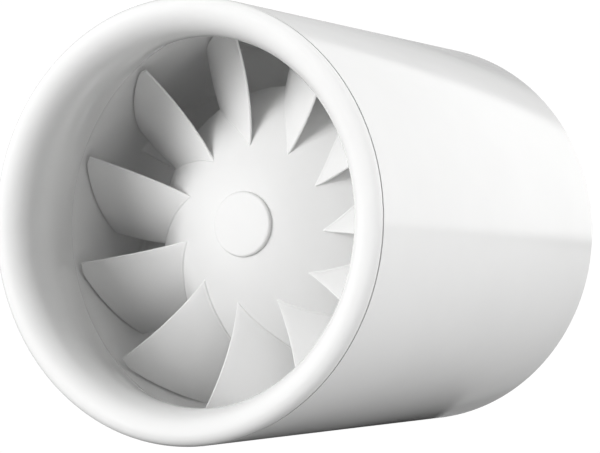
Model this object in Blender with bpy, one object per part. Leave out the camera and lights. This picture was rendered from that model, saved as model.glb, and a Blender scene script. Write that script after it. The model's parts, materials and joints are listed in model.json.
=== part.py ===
"""Inline bathroom extractor fan for a 100 mm duct, modelled as an assembly of separate pieces.

The tube lies along Y, with the intake facing -Y. The origin is the middle of the casing, halfway
along its length. A "station" is a distance along the axis, measured from the front of the intake lip.
"""

import math

import bmesh
import bpy
from mathutils import Matrix, Vector

MM = 0.001
GAP = 0.3 * MM  # clearance between two touching pieces
THROUGH = 1.0 * MM  # how far a cutter runs past the face it goes through

# ---- overall sizes -------------------------------------------------------------------------
TUBE_RADIUS = 49.5 * MM  # slides into a 100 mm duct
LENGTH = 122.4 * MM
TUBE_WALL = 1.4 * MM
TUBE_BORE = TUBE_RADIUS - TUBE_WALL
TUBE_EDGE = 0.4 * MM  # chamfer at the outlet end

# ---- shaft ---------------------------------------------------------------------------------
SHAFT_RADIUS = 3.0 * MM
SHAFT_STEP = 0.5 * MM
SPIGOT_RADIUS = SHAFT_RADIUS - SHAFT_STEP  # threaded front part of the shaft
SHAFT_SHOULDER = 49.6 * MM
SHAFT_EDGE = 0.6 * MM

# ---- motor ---------------------------------------------------------------------------------
POLES = 4
CORE_RADIUS = 27.5 * MM
CORE_FRONT = 64.4 * MM
CORE_LENGTH = 17.8 * MM
YOKE_DEPTH = 5.0 * MM
YOKE_RADIUS = CORE_RADIUS - YOKE_DEPTH
YOKE_CORNER = math.radians(20.0)
POLE_HALF_WIDTH = 4.5 * MM
ROTOR_RADIUS = 12.5 * MM
SHOE_DEPTH = 3.0 * MM
SHOE_BACK = ROTOR_RADIUS + SHOE_DEPTH
SHOE_HALF_ANGLE = math.radians(35.0)
AIR_GAP = 0.4 * MM
SHADE_ANGLE = math.radians(15.0)
SHADE_OVERHANG = math.radians(4.2)
SHADE_SLOT = 1.6 * MM
SHADE_WIRE = 0.45 * MM
SHADE_DEPTH = 0.5 * MM
COIL_BUILD = 3.4 * MM
COIL_CORNER = 0.6 * MM
CAGE_STEP = 0.3 * MM
SHIELD_WALL = 2.5 * MM
SHIELD_RIM = 1.5 * MM
SHIELD_EDGE = 1.2 * MM
SHIELD_LAP = 2.0 * MM  # how far each shield reaches over the core
SHIELD_STEP = 0.4 * MM
FRONT_SHIELD = 56.6 * MM
BUSH_WALL = 2.0 * MM
BUSH_RADIUS = SHAFT_RADIUS + BUSH_WALL
BUSH_LENGTH = 7.0 * MM
BUSH_EDGE = 0.5 * MM
BUSH_INSET = 0.6 * MM  # how far each bush stands out of its shield toward the rotor
BOSS_WALL = 3.0 * MM
BOSS_RADIUS = BUSH_RADIUS + BOSS_WALL
BOSS_FLOOR = 1.2 * MM
FELT_HEIGHT = 1.5 * MM
THRUST_HEIGHT = 0.6 * MM
THRUST_STEP = 0.2 * MM
BOLT_CIRCLE = CORE_RADIUS - YOKE_DEPTH / 2
BOLT_RADIUS = 1.3 * MM
BOLT_HEAD_RADIUS = 2.4 * MM
BOLT_HEAD_HEIGHT = 1.6 * MM
BOLT_SINK = 2.2 * MM
BOLT_HOLE_DEPTH = 5.0 * MM

# ---- guide vane unit (ring, vanes and motor nacelle in one moulding) -------------------------
VANES = 9
VANE_RING_FRONT = 28.5 * MM
VANE_RING_BACK = 81.0 * MM
VANE_RING_WALL = 1.0 * MM
VANE_RING_BORE = TUBE_BORE - GAP - VANE_RING_WALL
NACELLE_WALL = 1.8 * MM
NACELLE_CORNER = 2.2 * MM
NACELLE_FILLET = 0.8 * MM
MOTOR_SPACE = 3.9 * MM  # between the motor core and the inside of the nacelle
NACELLE_RADIUS = CORE_RADIUS + MOTOR_SPACE + NACELLE_WALL
NACELLE_FRONT = 51.4 * MM
REAR_SPACE = 15.8 * MM  # behind the motor core, for the rear shield and the terminal block
NACELLE_BACK = CORE_FRONT + CORE_LENGTH + REAR_SPACE
VANE_FRONT = 53.0 * MM
VANE_BACK = 78.5 * MM
VANE_THICKNESS = 1.5 * MM
VANE_WRAP = math.radians(24.0)
VANE_STRAIGHTENING = 1.8  # 1 keeps the same twist all along; more leaves the back end axial
VANE_PHASE = math.radians(14.0)
WINDOW_CLEARANCE = 2.0 * MM
BEARING_WINDOW = BOSS_RADIUS + WINDOW_CLEARANCE

# ---- intake ring ---------------------------------------------------------------------------
SEAM = 2.8 * MM  # station of the joint line between the intake ring and the tube
LIP_ROUND = 2.5 * MM
LIP_RADIUS = TUBE_RADIUS - LIP_ROUND  # frontmost circle of the lip
THROAT_STEP = 8.2 * MM
THROAT_RADIUS = TUBE_RADIUS - THROAT_STEP
THROAT = 8.7 * MM
THROAT_BLEND = 0.35  # 0 gives a sharp throat; more spreads the turn along the widening
RING_WALL = 1.5 * MM
LIP_DEPTH = 3.0 * MM  # from the lip's front to the back of its outer band
THROAT_BACKING = 3.1 * MM  # how far in front of the throat the hollow behind the lip starts
SPIGOT_LENGTH = 7.0 * MM
END_COLLAR = 3.0 * MM
RING_END = VANE_RING_FRONT - GAP  # station where the widening part stops

# ---- impeller ------------------------------------------------------------------------------
BLADES = 11
NOSE = 28.9 * MM  # station of the hub's foremost point
HUB_STEP = 0.2 * MM  # how far the hub's rim stands outside the nacelle
HUB_RIM_RADIUS = NACELLE_RADIUS + HUB_STEP
HUB_DEPTH = 19.6 * MM
HUB_ROUNDNESS = 2.1
HUB_WALL = 1.8 * MM
RIM_CHAMFER = 2.0 * MM
HUB_BOSS_WALL = 3.5 * MM
HUB_BOSS_RADIUS = SPIGOT_RADIUS + HUB_BOSS_WALL
BOSS_TAPER = 0.6 * MM
TIP_CLEARANCE = 0.4 * MM
BLADE_PHASE = math.radians(-3.0)
BLADE_THICKNESS = 1.2 * MM
BLADE_ROOT_SHARE = 0.56  # radius at which the leading edge leaves the hub, over the rim's
BLADE_ROOT_RADIUS = HUB_RIM_RADIUS * BLADE_ROOT_SHARE
BLADE_ROOT_INSET = 0.3 * MM
BLADE_TIP_RADIUS = VANE_RING_BORE - TIP_CLEARANCE
TIP_LEAD = 28.9 * MM
TIP_TRAIL = 47.3 * MM
LEAD_BOW = 2.6 * MM
ROOT_WRAP = math.radians(28.0)
TIP_WRAP = math.radians(22.8)
BLADE_CAMBER = 0.38

# ---- nose cap and fixing nut ---------------------------------------------------------------
NUT_WALL = 1.5 * MM
NUT_FLATS = 2 * (SPIGOT_RADIUS + NUT_WALL)
NUT_HEIGHT = 3.6 * MM
NUT_EDGE = 0.25 * MM
NUT_SEAT = 37.0 * MM
SHAFT_PROUD = 0.6 * MM  # how far the shaft's end stands out of the nut
WASHER_WIDTH = 2.9 * MM
WASHER_RADIUS = SPIGOT_RADIUS + WASHER_WIDTH
WASHER_HEIGHT = 1.0 * MM
NUT_WELL_CLEARANCE = 0.9 * MM
NUT_WELL_RADIUS = WASHER_RADIUS + NUT_WELL_CLEARANCE
NUT_WELL_WALL = 1.6 * MM
NUT_WELL_FLOOR = 3.0 * MM
CAP_OVERLAP = 1.3 * MM
CAP_RADIUS = NUT_WELL_RADIUS + CAP_OVERLAP
CAP_RAISED = 0.7 * MM
CAP_EDGE = 0.6 * MM
CAP_WALL = 1.5 * MM
CAP_SKIRT = 1.8 * MM
CAP_SKIRT_WALL = 0.9 * MM

# ---- screws --------------------------------------------------------------------------------
SCREW_RADIUS = 1.5 * MM
SCREW_HEAD_RADIUS = 2.8 * MM
SCREW_HEAD_HEIGHT = 1.8 * MM
RECESS_ARM = 0.95  # of the screw head's radius
RECESS_WIDTH = 0.26
RECESS_DEPTH = 0.9  # of the screw head's height

# ---- tail cone -----------------------------------------------------------------------------
TAIL_LENGTH = 17.0 * MM
TAIL_TIP = NACELLE_BACK + TAIL_LENGTH
TAIL_WALL = 1.8 * MM
TAIL_ROUNDNESS = 2.2
TAIL_OUTLINE = (0.0, 0.2, 0.4, 0.6, 0.78, 0.9, 0.975)  # shares of its length
TAIL_SPIGOT = 3.0 * MM
TAIL_SCREW_INSET = 8.2 * MM
TAIL_SCREW_CIRCLE = NACELLE_RADIUS - TAIL_SCREW_INSET
TAIL_SCREW_LENGTH = 8.4 * MM
TAIL_SCREW_SEAT = NACELLE_BACK + 1.5 * MM
TAIL_BOSS_WALL = 1.2 * MM
TAIL_LUG_LENGTH = 4.0 * MM
TAIL_PILOT_DEPTH = 9.0 * MM

# ---- wiring ----------------------------------------------------------------------------------
BLOCK_SIZE = (21.0 * MM, 7.5 * MM, 9.0 * MM)
BLOCK_EDGE = 0.6 * MM
BLOCK_INSET = 11.0 * MM
BLOCK_OFFSET = CORE_RADIUS - BLOCK_INSET
BLOCK_WAYS = 3
BLOCK_PITCH = 6.4 * MM
TERMINAL_RADIUS = 1.5 * MM
TERMINAL_HEIGHT = 4.0 * MM
TERMINAL_FLOOR = 1.8 * MM
TERMINAL_SLOT_WIDTH = 0.6 * MM
TERMINAL_SLOT_DEPTH = 0.8 * MM
GLAND_SET_BACK = 13.0 * MM
GLAND_STATION = VANE_RING_BACK + GLAND_SET_BACK
GLAND_NECK = 4.2 * MM
GLAND_FLANGE = 6.0 * MM
GLAND_BORE = 3.0 * MM
GLAND_FLANGE_HEIGHT = 1.4 * MM
GLAND_TAPER = 0.4 * MM
LEAD_RADIUS = 0.6 * MM
LEAD_BEND = 2.0 * MM
LEAD_STAND = 1.8 * MM  # how far the leads pass behind the block before they turn in
CUTOUT_RADIUS = 2.0 * MM
CUTOUT_LENGTH = 12.0 * MM
CUTOUT_EDGE = 0.5 * MM
CUTOUT_INSET = 2.9 * MM
CUTOUT_CIRCLE = YOKE_RADIUS - CUTOUT_INSET
LEAD_HOLE = 2.2 * MM

# ---- outlet retaining ring -----------------------------------------------------------------
OUTLET_RING_WALL = 1.6 * MM
OUTLET_RING_LIP = 2.2 * MM
GLAND_CLEARANCE = 1.5 * MM

# ---- anti-vibration mounts -------------------------------------------------------------------
MOUNTS = 3
MOUNT_INSET = 8.5 * MM
MOUNT_CIRCLE = CORE_RADIUS - MOUNT_INSET
MOUNT_NECK = 3.4 * MM
MOUNT_FLANGE = 5.2 * MM
MOUNT_FLANGE_HEIGHT = 1.6 * MM
MOUNT_EDGE = 0.4 * MM

# ---- facets ------------------------------------------------------------------------------------
WIDE_STEPS = 48
HUB_STEPS = 36
MID_STEPS = 32
CAP_STEPS = 24
RING_STEPS = 18
SMALL_STEPS = 14
BOLT_STEPS = 12
BELL_CELLS = 7
WIDENING_CELLS = 7
HUB_CELLS = 7
HUB_INSIDE_CELLS = 4
EDGE_SMOOTHING = math.radians(35.0)
WELD = 1e-7  # points nearer than this are one

MATERIALS = {
    "casing_white": ((0.90, 0.90, 0.89), 0.22, 0.0),
    "impeller_white": ((0.88, 0.88, 0.88), 0.28, 0.0),
    "nacelle_white": ((0.86, 0.86, 0.86), 0.32, 0.0),
    "rubber": ((0.05, 0.05, 0.055), 0.75, 0.0),
    "steel": ((0.62, 0.63, 0.64), 0.30, 1.0),
    "lamination": ((0.30, 0.31, 0.33), 0.50, 1.0),
    "copper": ((0.72, 0.38, 0.22), 0.38, 1.0),
    "die_cast": ((0.66, 0.67, 0.68), 0.48, 1.0),
    "bronze": ((0.62, 0.45, 0.25), 0.55, 1.0),
    "felt": ((0.55, 0.52, 0.46), 0.95, 0.0),
    "nylon": ((0.80, 0.79, 0.74), 0.45, 0.0),
    "brass": ((0.78, 0.62, 0.30), 0.35, 1.0),
    "lead_brown": ((0.22, 0.10, 0.04), 0.50, 0.0),
    "lead_blue": ((0.04, 0.12, 0.45), 0.50, 0.0),
}


# ------------------------------------------------------------------------------------------------
# Scene and small helpers
# ------------------------------------------------------------------------------------------------
def clear_scene():
    for obj in list(bpy.data.objects):
        bpy.data.objects.remove(obj, do_unlink=True)


def new_collection(name, hidden=False):
    collection = bpy.data.collections.new(name)
    bpy.context.scene.collection.children.link(collection)
    collection.hide_render = hidden
    return collection


def make_material(name):
    colour, roughness, metallic = MATERIALS[name]
    material = bpy.data.materials.new(name)
    material.use_nodes = True
    shader = material.node_tree.nodes["Principled BSDF"]
    shader.inputs["Base Color"].default_value = (*colour, 1.0)
    shader.inputs["Roughness"].default_value = roughness
    shader.inputs["Metallic"].default_value = metallic
    material.diffuse_color = (*colour, 1.0)
    return material


def along(station):
    """World Y of a station."""
    return station - LENGTH / 2


def on_circle(radius, angle, station=None):
    """A point at this radius, turned clockwise from straight up as seen from the intake."""
    y = 0.0 if station is None else along(station)
    return Vector((radius * math.sin(angle), y, radius * math.cos(angle)))


def even_angles(count, phase=0.0):
    return [phase + 2 * math.pi * i / count for i in range(count)]


def object_from(bm, name, material=None, smooth=EDGE_SMOOTHING):
    bmesh.ops.remove_doubles(bm, verts=bm.verts, dist=WELD)
    bmesh.ops.recalc_face_normals(bm, faces=bm.faces)
    mesh = bpy.data.meshes.new(name)
    bm.to_mesh(mesh)
    bm.free()
    obj = bpy.data.objects.new(name, mesh)
    if material:
        obj.data.materials.append(SLOTS[material])
        PARTS.objects.link(obj)
    else:
        CUTTERS.objects.link(obj)
        obj.hide_render = True
        obj.display_type = "WIRE"
    shade(obj, smooth)
    return obj


def shade(obj, angle):
    for polygon in obj.data.polygons:
        polygon.use_smooth = True
    obj.data.set_sharp_from_angle(angle=angle)


def spun(profile, steps, closed=True):
    """Turns (radius, y) points about the Y axis. An open profile has both ends on the axis."""
    bm = bmesh.new()
    verts = [bm.verts.new((radius, y, 0.0)) for radius, y in profile]
    edges = [bm.edges.new(pair) for pair in zip(verts, verts[1:])]
    if closed:
        edges.append(bm.edges.new((verts[-1], verts[0])))
    bmesh.ops.spin(
        bm, geom=verts + edges, cent=(0, 0, 0), axis=(0, 1, 0), dvec=(0, 0, 0),
        angle=2 * math.pi, steps=steps, use_merge=True, use_duplicate=False,
    )
    return bm


def turned(name, profile, material=None, steps=MID_STEPS, closed=True):
    """A piece turned on the fan's own axis, from (radius, station) points."""
    profile = [(radius, along(station)) for radius, station in profile]
    return object_from(spun(profile, steps, closed), name, material)


def turned_at(name, profile, place, material=None, steps=SMALL_STEPS, closed=True):
    """A small turned piece with its own axis parallel to Y, standing at a point."""
    obj = object_from(spun(profile, steps, closed), name, material)
    obj.location = place
    return obj


def tube_profile(inner, outer, front, back, chamfer=0.0):
    """Closed profile of a plain ring; the chamfer is taken off both outer corners."""
    if not chamfer:
        return [(outer, front), (outer, back), (inner, back), (inner, front)]
    return [
        (outer - chamfer, front), (outer, front + chamfer), (outer, back - chamfer),
        (outer - chamfer, back), (inner, back), (inner, front),
    ]


def rod_profile(radius, front, back):
    return [(0.0, front), (radius, front), (radius, back), (0.0, back)]


def boolean(obj, operand, operation="DIFFERENCE"):
    modifier = obj.modifiers.new(operation.lower() + "_" + operand.name, "BOOLEAN")
    modifier.operation = operation
    modifier.object = operand
    modifier.solver = "EXACT"
    modifier.material_mode = "INDEX"


def joined(name, bms):
    """One helper object out of several separate closed shapes."""
    whole = bmesh.new()
    for bm in bms:
        piece = bpy.data.meshes.new(name + "_piece")
        bmesh.ops.remove_doubles(bm, verts=bm.verts, dist=WELD)
        bmesh.ops.recalc_face_normals(bm, faces=bm.faces)
        bm.to_mesh(piece)
        bm.free()
        whole.from_mesh(piece)
        bpy.data.meshes.remove(piece)
    mesh = bpy.data.meshes.new(name)
    whole.to_mesh(mesh)
    whole.free()
    obj = bpy.data.objects.new(name, mesh)
    CUTTERS.objects.link(obj)
    obj.hide_render = True
    obj.display_type = "WIRE"
    return obj


def rods(name, radius, front, back, centres, steps=SMALL_STEPS):
    """Helper cylinders parallel to Y at the given (x, z) centres, between two stations."""
    shapes = []
    for x, z in centres:
        bm = spun(rod_profile(radius, along(front), along(back)), steps, closed=False)
        bmesh.ops.translate(bm, vec=(x, 0.0, z), verts=bm.verts)
        shapes.append(bm)
    return joined(name, shapes)


def circle_centres(radius, angles):
    return [(radius * math.sin(a), radius * math.cos(a)) for a in angles]


def box_bm(size, centre, turn=0.0):
    bm = bmesh.new()
    bmesh.ops.create_cube(bm, size=1.0)
    bmesh.ops.scale(bm, vec=size, verts=bm.verts)
    bmesh.ops.translate(bm, vec=centre, verts=bm.verts)
    bmesh.ops.rotate(bm, cent=(0, 0, 0), matrix=Matrix.Rotation(turn, 3, "Y"), verts=bm.verts)
    return bm


def plate(name, loops, depth, place, material):
    """A flat piece cut from closed (x, y) outlines, the first one the outside, `depth` thick."""
    curve = bpy.data.curves.new(name, "CURVE")
    curve.dimensions = "2D"
    curve.fill_mode = "BOTH"
    curve.extrude = depth / 2
    for loop in loops:
        spline = curve.splines.new("POLY")
        spline.points.add(len(loop) - 1)
        for point, (x, y) in zip(spline.points, loop):
            point.co = (x, y, 0.0, 1.0)
        spline.use_cyclic_u = True
    source = bpy.data.objects.new(name + "_outline", curve)
    CUTTERS.objects.link(source)
    bpy.context.view_layer.update()
    bm = bmesh.new()
    bm.from_mesh(bpy.data.meshes.new_from_object(source))
    bpy.data.objects.remove(source, do_unlink=True)
    bmesh.ops.remove_doubles(bm, verts=bm.verts, dist=WELD)
    bmesh.ops.transform(bm, matrix=place, verts=bm.verts)
    return object_from(bm, name, material)


def wire(name, points, radius, material, cyclic=False):
    curve = bpy.data.curves.new(name, "CURVE")
    curve.dimensions = "3D"
    curve.bevel_depth = radius
    curve.bevel_resolution = 2
    curve.use_fill_caps = not cyclic
    spline = curve.splines.new("POLY")
    spline.points.add(len(points) - 1)
    for point, co in zip(spline.points, points):
        point.co = (*co, 1.0)
    spline.use_cyclic_u = cyclic
    curve.materials.append(SLOTS[material])
    obj = bpy.data.objects.new(name, curve)
    PARTS.objects.link(obj)
    return obj


def arc(centre, radii, start, end, count):
    """Points on an ellipse arc about a (radius, station) centre."""
    points = []
    for i in range(count + 1):
        angle = start + (end - start) * i / count
        points.append((
            centre[0] + radii[0] * math.cos(angle), centre[1] + radii[1] * math.sin(angle),
        ))
    return points


def screw_profile(head_radius, head_height, shank_radius, length):
    """Pan head screw pointing along +Y, with the underside of its head at y = 0."""
    return [
        (0.0, -head_height), (head_radius * 0.72, -head_height), (head_radius, -head_height * 0.5),
        (head_radius, 0.0), (shank_radius, 0.0), (shank_radius, length - shank_radius * 0.6),
        (shank_radius * 0.4, length), (0.0, length),
    ]


def cross_recess(screw, head_radius, head_height):
    """Cuts a Phillips-like cross into a screw head."""
    arm = head_radius * RECESS_ARM
    width = head_radius * RECESS_WIDTH
    depth = head_height * RECESS_DEPTH
    shapes = []
    for turn in (0.0, math.pi / 2):
        shapes.append(box_bm((arm, depth, width), (0, -head_height, 0), turn))
    first = object_from(shapes[0], screw.name + "_slot_a")
    second = object_from(shapes[1], screw.name + "_slot_b")
    for slot in (first, second):
        slot.location = screw.location
        slot.rotation_euler = screw.rotation_euler
        boolean(screw, slot)


def own(child, parent):
    """Parents a piece without moving it."""
    child.parent = parent
    child.matrix_parent_inverse = Matrix.Translation(-parent.location)


# ------------------------------------------------------------------------------------------------
# Casing
# ------------------------------------------------------------------------------------------------
def build_casing():
    profile = tube_profile(TUBE_BORE, TUBE_RADIUS, SEAM + GAP, LENGTH)
    profile[1:2] = [(TUBE_RADIUS, LENGTH - TUBE_EDGE), (TUBE_RADIUS - TUBE_EDGE, LENGTH)]
    casing = turned("casing_tube", profile, "casing_white", WIDE_STEPS)
    hole = spun([(0.0, 0.0), (GLAND_NECK + GAP, 0.0), (GLAND_NECK + GAP, 3 * TUBE_WALL),
                 (0.0, 3 * TUBE_WALL)], SMALL_STEPS, closed=False)
    bmesh.ops.rotate(hole, cent=(0, 0, 0), matrix=Matrix.Rotation(math.pi / 2, 3, "Z"),
                     verts=hole.verts)
    bmesh.ops.translate(hole, vec=(-TUBE_BORE + TUBE_WALL, along(GLAND_STATION), 0),
                        verts=hole.verts)
    boolean(casing, object_from(hole, "gland_hole"))
    return casing


def widening_radius(station):
    """Inside radius of the intake ring behind its throat, where it grows to the vane ring's."""
    share = (station - THROAT) / (RING_END - THROAT)
    grown = math.hypot(share, THROAT_BLEND) - THROAT_BLEND
    return THROAT_RADIUS + (VANE_RING_BORE - THROAT_RADIUS) * grown / (
        math.hypot(1.0, THROAT_BLEND) - THROAT_BLEND)


def intake_profile():
    """Bell lip down to the throat, the wall that widens behind it, and the locating spigot."""
    spigot = TUBE_BORE - GAP
    inner_spigot = spigot - RING_WALL
    outer = TUBE_RADIUS
    lip = arc((LIP_RADIUS, SEAM), (outer - LIP_RADIUS, -SEAM), 0.0, math.pi / 2, 4)
    bell = arc((LIP_RADIUS, THROAT), (THROAT_RADIUS - LIP_RADIUS, -THROAT), math.pi / 2, 0.0,
               BELL_CELLS)[1:]
    inside = [(widening_radius(s), s) for s in even_steps(THROAT, RING_END, WIDENING_CELLS)[1:]]
    outside = [(widening_radius(s) + RING_WALL, s) for s in even_steps(
        RING_END - END_COLLAR, THROAT, WIDENING_CELLS - 2)]
    back = [
        (THROAT_RADIUS + RING_WALL, THROAT - THROAT_BACKING), (inner_spigot, LIP_DEPTH + GAP),
        (inner_spigot, SEAM + SPIGOT_LENGTH), (spigot, SEAM + SPIGOT_LENGTH), (spigot, SEAM),
    ]
    collar = [(spigot, RING_END), (spigot, RING_END - END_COLLAR)]
    return lip + bell + inside + collar + outside + back


def build_intake_ring():
    return turned("intake_ring", intake_profile(), "casing_white", WIDE_STEPS)


def build_outlet_ring():
    """Ring pressed in behind the guide vane unit, which keeps that unit from sliding back."""
    outer = TUBE_BORE - GAP
    inner = outer - OUTLET_RING_WALL
    back = GLAND_STATION - GLAND_FLANGE - GLAND_CLEARANCE
    front = VANE_RING_BACK + GAP
    profile = [
        (outer, front), (outer, back), (inner, back),
        (inner, front + OUTLET_RING_LIP), (outer - OUTLET_RING_LIP, front),
    ]
    return turned("retaining_ring", profile, "nacelle_white", WIDE_STEPS)


# ------------------------------------------------------------------------------------------------
# Impeller
# ------------------------------------------------------------------------------------------------
def dome(radius):
    """Station of the hub's outside at a radius."""
    return NOSE + HUB_DEPTH * (radius / HUB_RIM_RADIUS) ** HUB_ROUNDNESS


def even_steps(start, end, count):
    return [start + (end - start) * i / count for i in range(count + 1)]


def hub_profile():
    bore = SPIGOT_RADIUS + GAP
    boss_back = SHAFT_SHOULDER - GAP
    inner_rim = HUB_RIM_RADIUS - HUB_WALL
    well_wall = NUT_WELL_RADIUS + NUT_WELL_WALL
    outside = [(r, dome(r)) for r in even_steps(NUT_WELL_RADIUS, HUB_RIM_RADIUS, HUB_CELLS)]
    inside = [(r, dome(r) + HUB_WALL) for r in even_steps(
        inner_rim - RIM_CHAMFER, well_wall + 2 * HUB_WALL, HUB_INSIDE_CELLS)]
    return outside + [(inner_rim, dome(HUB_RIM_RADIUS))] + inside + [
        (well_wall, dome(well_wall) + HUB_WALL), (well_wall, NUT_SEAT + NUT_WELL_WALL),
        (HUB_BOSS_RADIUS, NUT_SEAT + NUT_WELL_FLOOR), (HUB_BOSS_RADIUS - BOSS_TAPER, boss_back),
        (bore, boss_back), (bore, NUT_SEAT), (NUT_WELL_RADIUS, NUT_SEAT),
    ]


def blade_point(chord, span, root_sink):
    """Mid-surface of a blade. chord runs from leading to trailing edge, span from hub to tip."""
    last_radius = HUB_RIM_RADIUS - BLADE_ROOT_INSET
    root_radius = BLADE_ROOT_RADIUS + (last_radius - BLADE_ROOT_RADIUS) * chord
    root = Vector((root_radius - root_sink / 2, dome(root_radius) + root_sink))
    tip = Vector((BLADE_TIP_RADIUS, TIP_LEAD + (TIP_TRAIL - TIP_LEAD) * chord))
    point = root.lerp(tip, span)
    bow = 4 * span * (1 - span)
    station = point.y + LEAD_BOW * bow * (1 - chord)
    turn = chord + BLADE_CAMBER * chord * (1 - chord)
    wrap = ROOT_WRAP + (TIP_WRAP - ROOT_WRAP) * span
    return on_circle(point.x, BLADE_PHASE - wrap * turn, station)


def sheet_bm(point_at, chord_cells, span_cells, thickness):
    """A curved plate of even thickness from a function of chord and span, both 0 to 1."""
    bm = bmesh.new()
    bmesh.ops.create_grid(bm, x_segments=chord_cells, y_segments=span_cells, size=0.5)
    for vert in bm.verts:
        vert.co = point_at(vert.co.x + 0.5, vert.co.y + 0.5)
    bmesh.ops.recalc_face_normals(bm, faces=bm.faces)
    for vert in bm.verts:
        vert.normal_update()
    for vert, normal in [(v, v.normal.copy()) for v in bm.verts]:
        vert.co -= normal * thickness / 2
    bmesh.ops.solidify(bm, geom=bm.faces, thickness=-thickness)
    return bm


def ring_of(bm, count):
    """Copies of a shape spaced evenly about the Y axis."""
    shapes = [bm]
    for angle in even_angles(count)[1:]:
        copy = bm.copy()
        bmesh.ops.rotate(copy, cent=(0, 0, 0), matrix=Matrix.Rotation(angle, 3, "Y"),
                         verts=copy.verts)
        shapes.append(copy)
    return shapes


def build_impeller():
    impeller = turned("impeller", hub_profile(), "impeller_white", HUB_STEPS)
    blade = sheet_bm(lambda c, s: blade_point(c, s, HUB_WALL / 2), 5, 4, BLADE_THICKNESS)
    boolean(impeller, joined("blades", ring_of(blade, BLADES)), "UNION")
    return impeller


def build_nose_cap():
    face = NOSE - CAP_RAISED
    seat = dome(NUT_WELL_RADIUS) - GAP
    skirt = NUT_WELL_RADIUS - GAP
    inside = skirt - CAP_SKIRT_WALL
    profile = [
        (0.0, face), (CAP_RADIUS - CAP_EDGE, face + CAP_EDGE / 3), (CAP_RADIUS, face + CAP_EDGE),
        (CAP_RADIUS, seat), (skirt, seat), (skirt, seat + CAP_SKIRT), (inside, seat + CAP_SKIRT),
        (inside, face + CAP_WALL), (0.0, face + CAP_WALL),
    ]
    return turned("nose_cap", profile, "impeller_white", CAP_STEPS, closed=False)


def build_nut():
    bm = bmesh.new()
    radius = NUT_FLATS / 2 / math.cos(math.pi / 6)
    bmesh.ops.create_cone(bm, cap_ends=True, segments=6, radius1=radius, radius2=radius,
                          depth=NUT_HEIGHT)
    bmesh.ops.rotate(bm, cent=(0, 0, 0), matrix=Matrix.Rotation(math.pi / 2, 3, "X"),
                     verts=bm.verts)
    back = NUT_SEAT - WASHER_HEIGHT - 2 * GAP
    bmesh.ops.translate(bm, vec=(0, along(back - NUT_HEIGHT / 2), 0), verts=bm.verts)
    bmesh.ops.bevel(bm, geom=bm.edges[:], offset=NUT_EDGE, segments=1, affect="EDGES",
                    profile=0.5, material=-1)
    nut = object_from(bm, "impeller_nut", "steel")
    bore = rods("nut_bore", SPIGOT_RADIUS + GAP, NOSE, NUT_SEAT, [(0.0, 0.0)])
    boolean(nut, bore)
    return nut


def build_washer():
    back = NUT_SEAT - GAP
    profile = tube_profile(SPIGOT_RADIUS + GAP, WASHER_RADIUS, back - WASHER_HEIGHT, back)
    return turned("impeller_washer", profile, "steel", RING_STEPS)


# ------------------------------------------------------------------------------------------------
# Guide vane unit and tail cone
# ------------------------------------------------------------------------------------------------
def vane_point(chord, span):
    inner = NACELLE_RADIUS - NACELLE_WALL / 2
    outer = VANE_RING_BORE + VANE_RING_WALL / 2
    radius = inner + (outer - inner) * span
    station = VANE_FRONT + (VANE_BACK - VANE_FRONT) * chord
    turn = 1 - (1 - chord) ** VANE_STRAIGHTENING
    return on_circle(radius, VANE_PHASE + VANE_WRAP * turn, station)


def nacelle_profile():
    inner = NACELLE_RADIUS - NACELLE_WALL
    corner = NACELLE_CORNER
    front_inside = NACELLE_FRONT + NACELLE_WALL
    outside = arc((NACELLE_RADIUS - corner, NACELLE_FRONT + corner), (corner, -corner),
                  math.pi / 2, 0.0, 3)
    return [(BEARING_WINDOW, NACELLE_FRONT)] + outside + [
        (NACELLE_RADIUS, NACELLE_BACK), (inner, NACELLE_BACK), (inner, front_inside + NACELLE_FILLET),
        (inner - NACELLE_FILLET, front_inside), (BEARING_WINDOW, front_inside),
    ]


def tail_boss_angles():
    return even_angles(MOUNTS, math.pi / MOUNTS)


def build_vane_unit():
    outer = TUBE_BORE - GAP
    ring = tube_profile(VANE_RING_BORE, outer, VANE_RING_FRONT, VANE_RING_BACK)
    unit = turned("guide_vane_unit", ring, "nacelle_white", WIDE_STEPS)
    nacelle = turned("nacelle_shell", nacelle_profile(), None, WIDE_STEPS)
    vane = sheet_bm(vane_point, 5, 1, VANE_THICKNESS)
    boolean(nacelle, joined("vanes", ring_of(vane, VANES)), "UNION")
    lugs = []
    lug = NACELLE_RADIUS - NACELLE_WALL / 2 - TAIL_SCREW_CIRCLE
    for angle in tail_boss_angles():
        centre = on_circle(TAIL_SCREW_CIRCLE + (lug - SCREW_HEAD_RADIUS) / 2, 0.0)
        centre.y = along(NACELLE_BACK - TAIL_SPIGOT - GAP - TAIL_LUG_LENGTH / 2)
        lugs.append(box_bm((2 * SCREW_HEAD_RADIUS, TAIL_LUG_LENGTH, lug + SCREW_HEAD_RADIUS),
                           centre, angle))
    boolean(nacelle, joined("tail_lugs", lugs), "UNION")
    boolean(unit, nacelle, "UNION")
    holes = circle_centres(TAIL_SCREW_CIRCLE, tail_boss_angles())
    boolean(unit, rods("tail_pilot_holes", SCREW_RADIUS + GAP,
                       NACELLE_BACK - TAIL_PILOT_DEPTH, NACELLE_BACK, holes))
    mounts = circle_centres(MOUNT_CIRCLE, even_angles(MOUNTS))
    boolean(unit, rods("mount_holes", MOUNT_NECK + GAP, NACELLE_FRONT - THROUGH,
                       NACELLE_FRONT + 2 * NACELLE_WALL, mounts, SMALL_STEPS))
    return unit


def tail_radius(t):
    """Radius of the tail cone, t running 0 at the nacelle to 1 at the tip."""
    return NACELLE_RADIUS * math.sqrt(1 - t ** TAIL_ROUNDNESS)


def tail_steps(front, depth, scale=1.0):
    """Outline of the tail from its wide end to near its tip."""
    return [(tail_radius(t) * scale, front + depth * t) for t in TAIL_OUTLINE]


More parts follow.
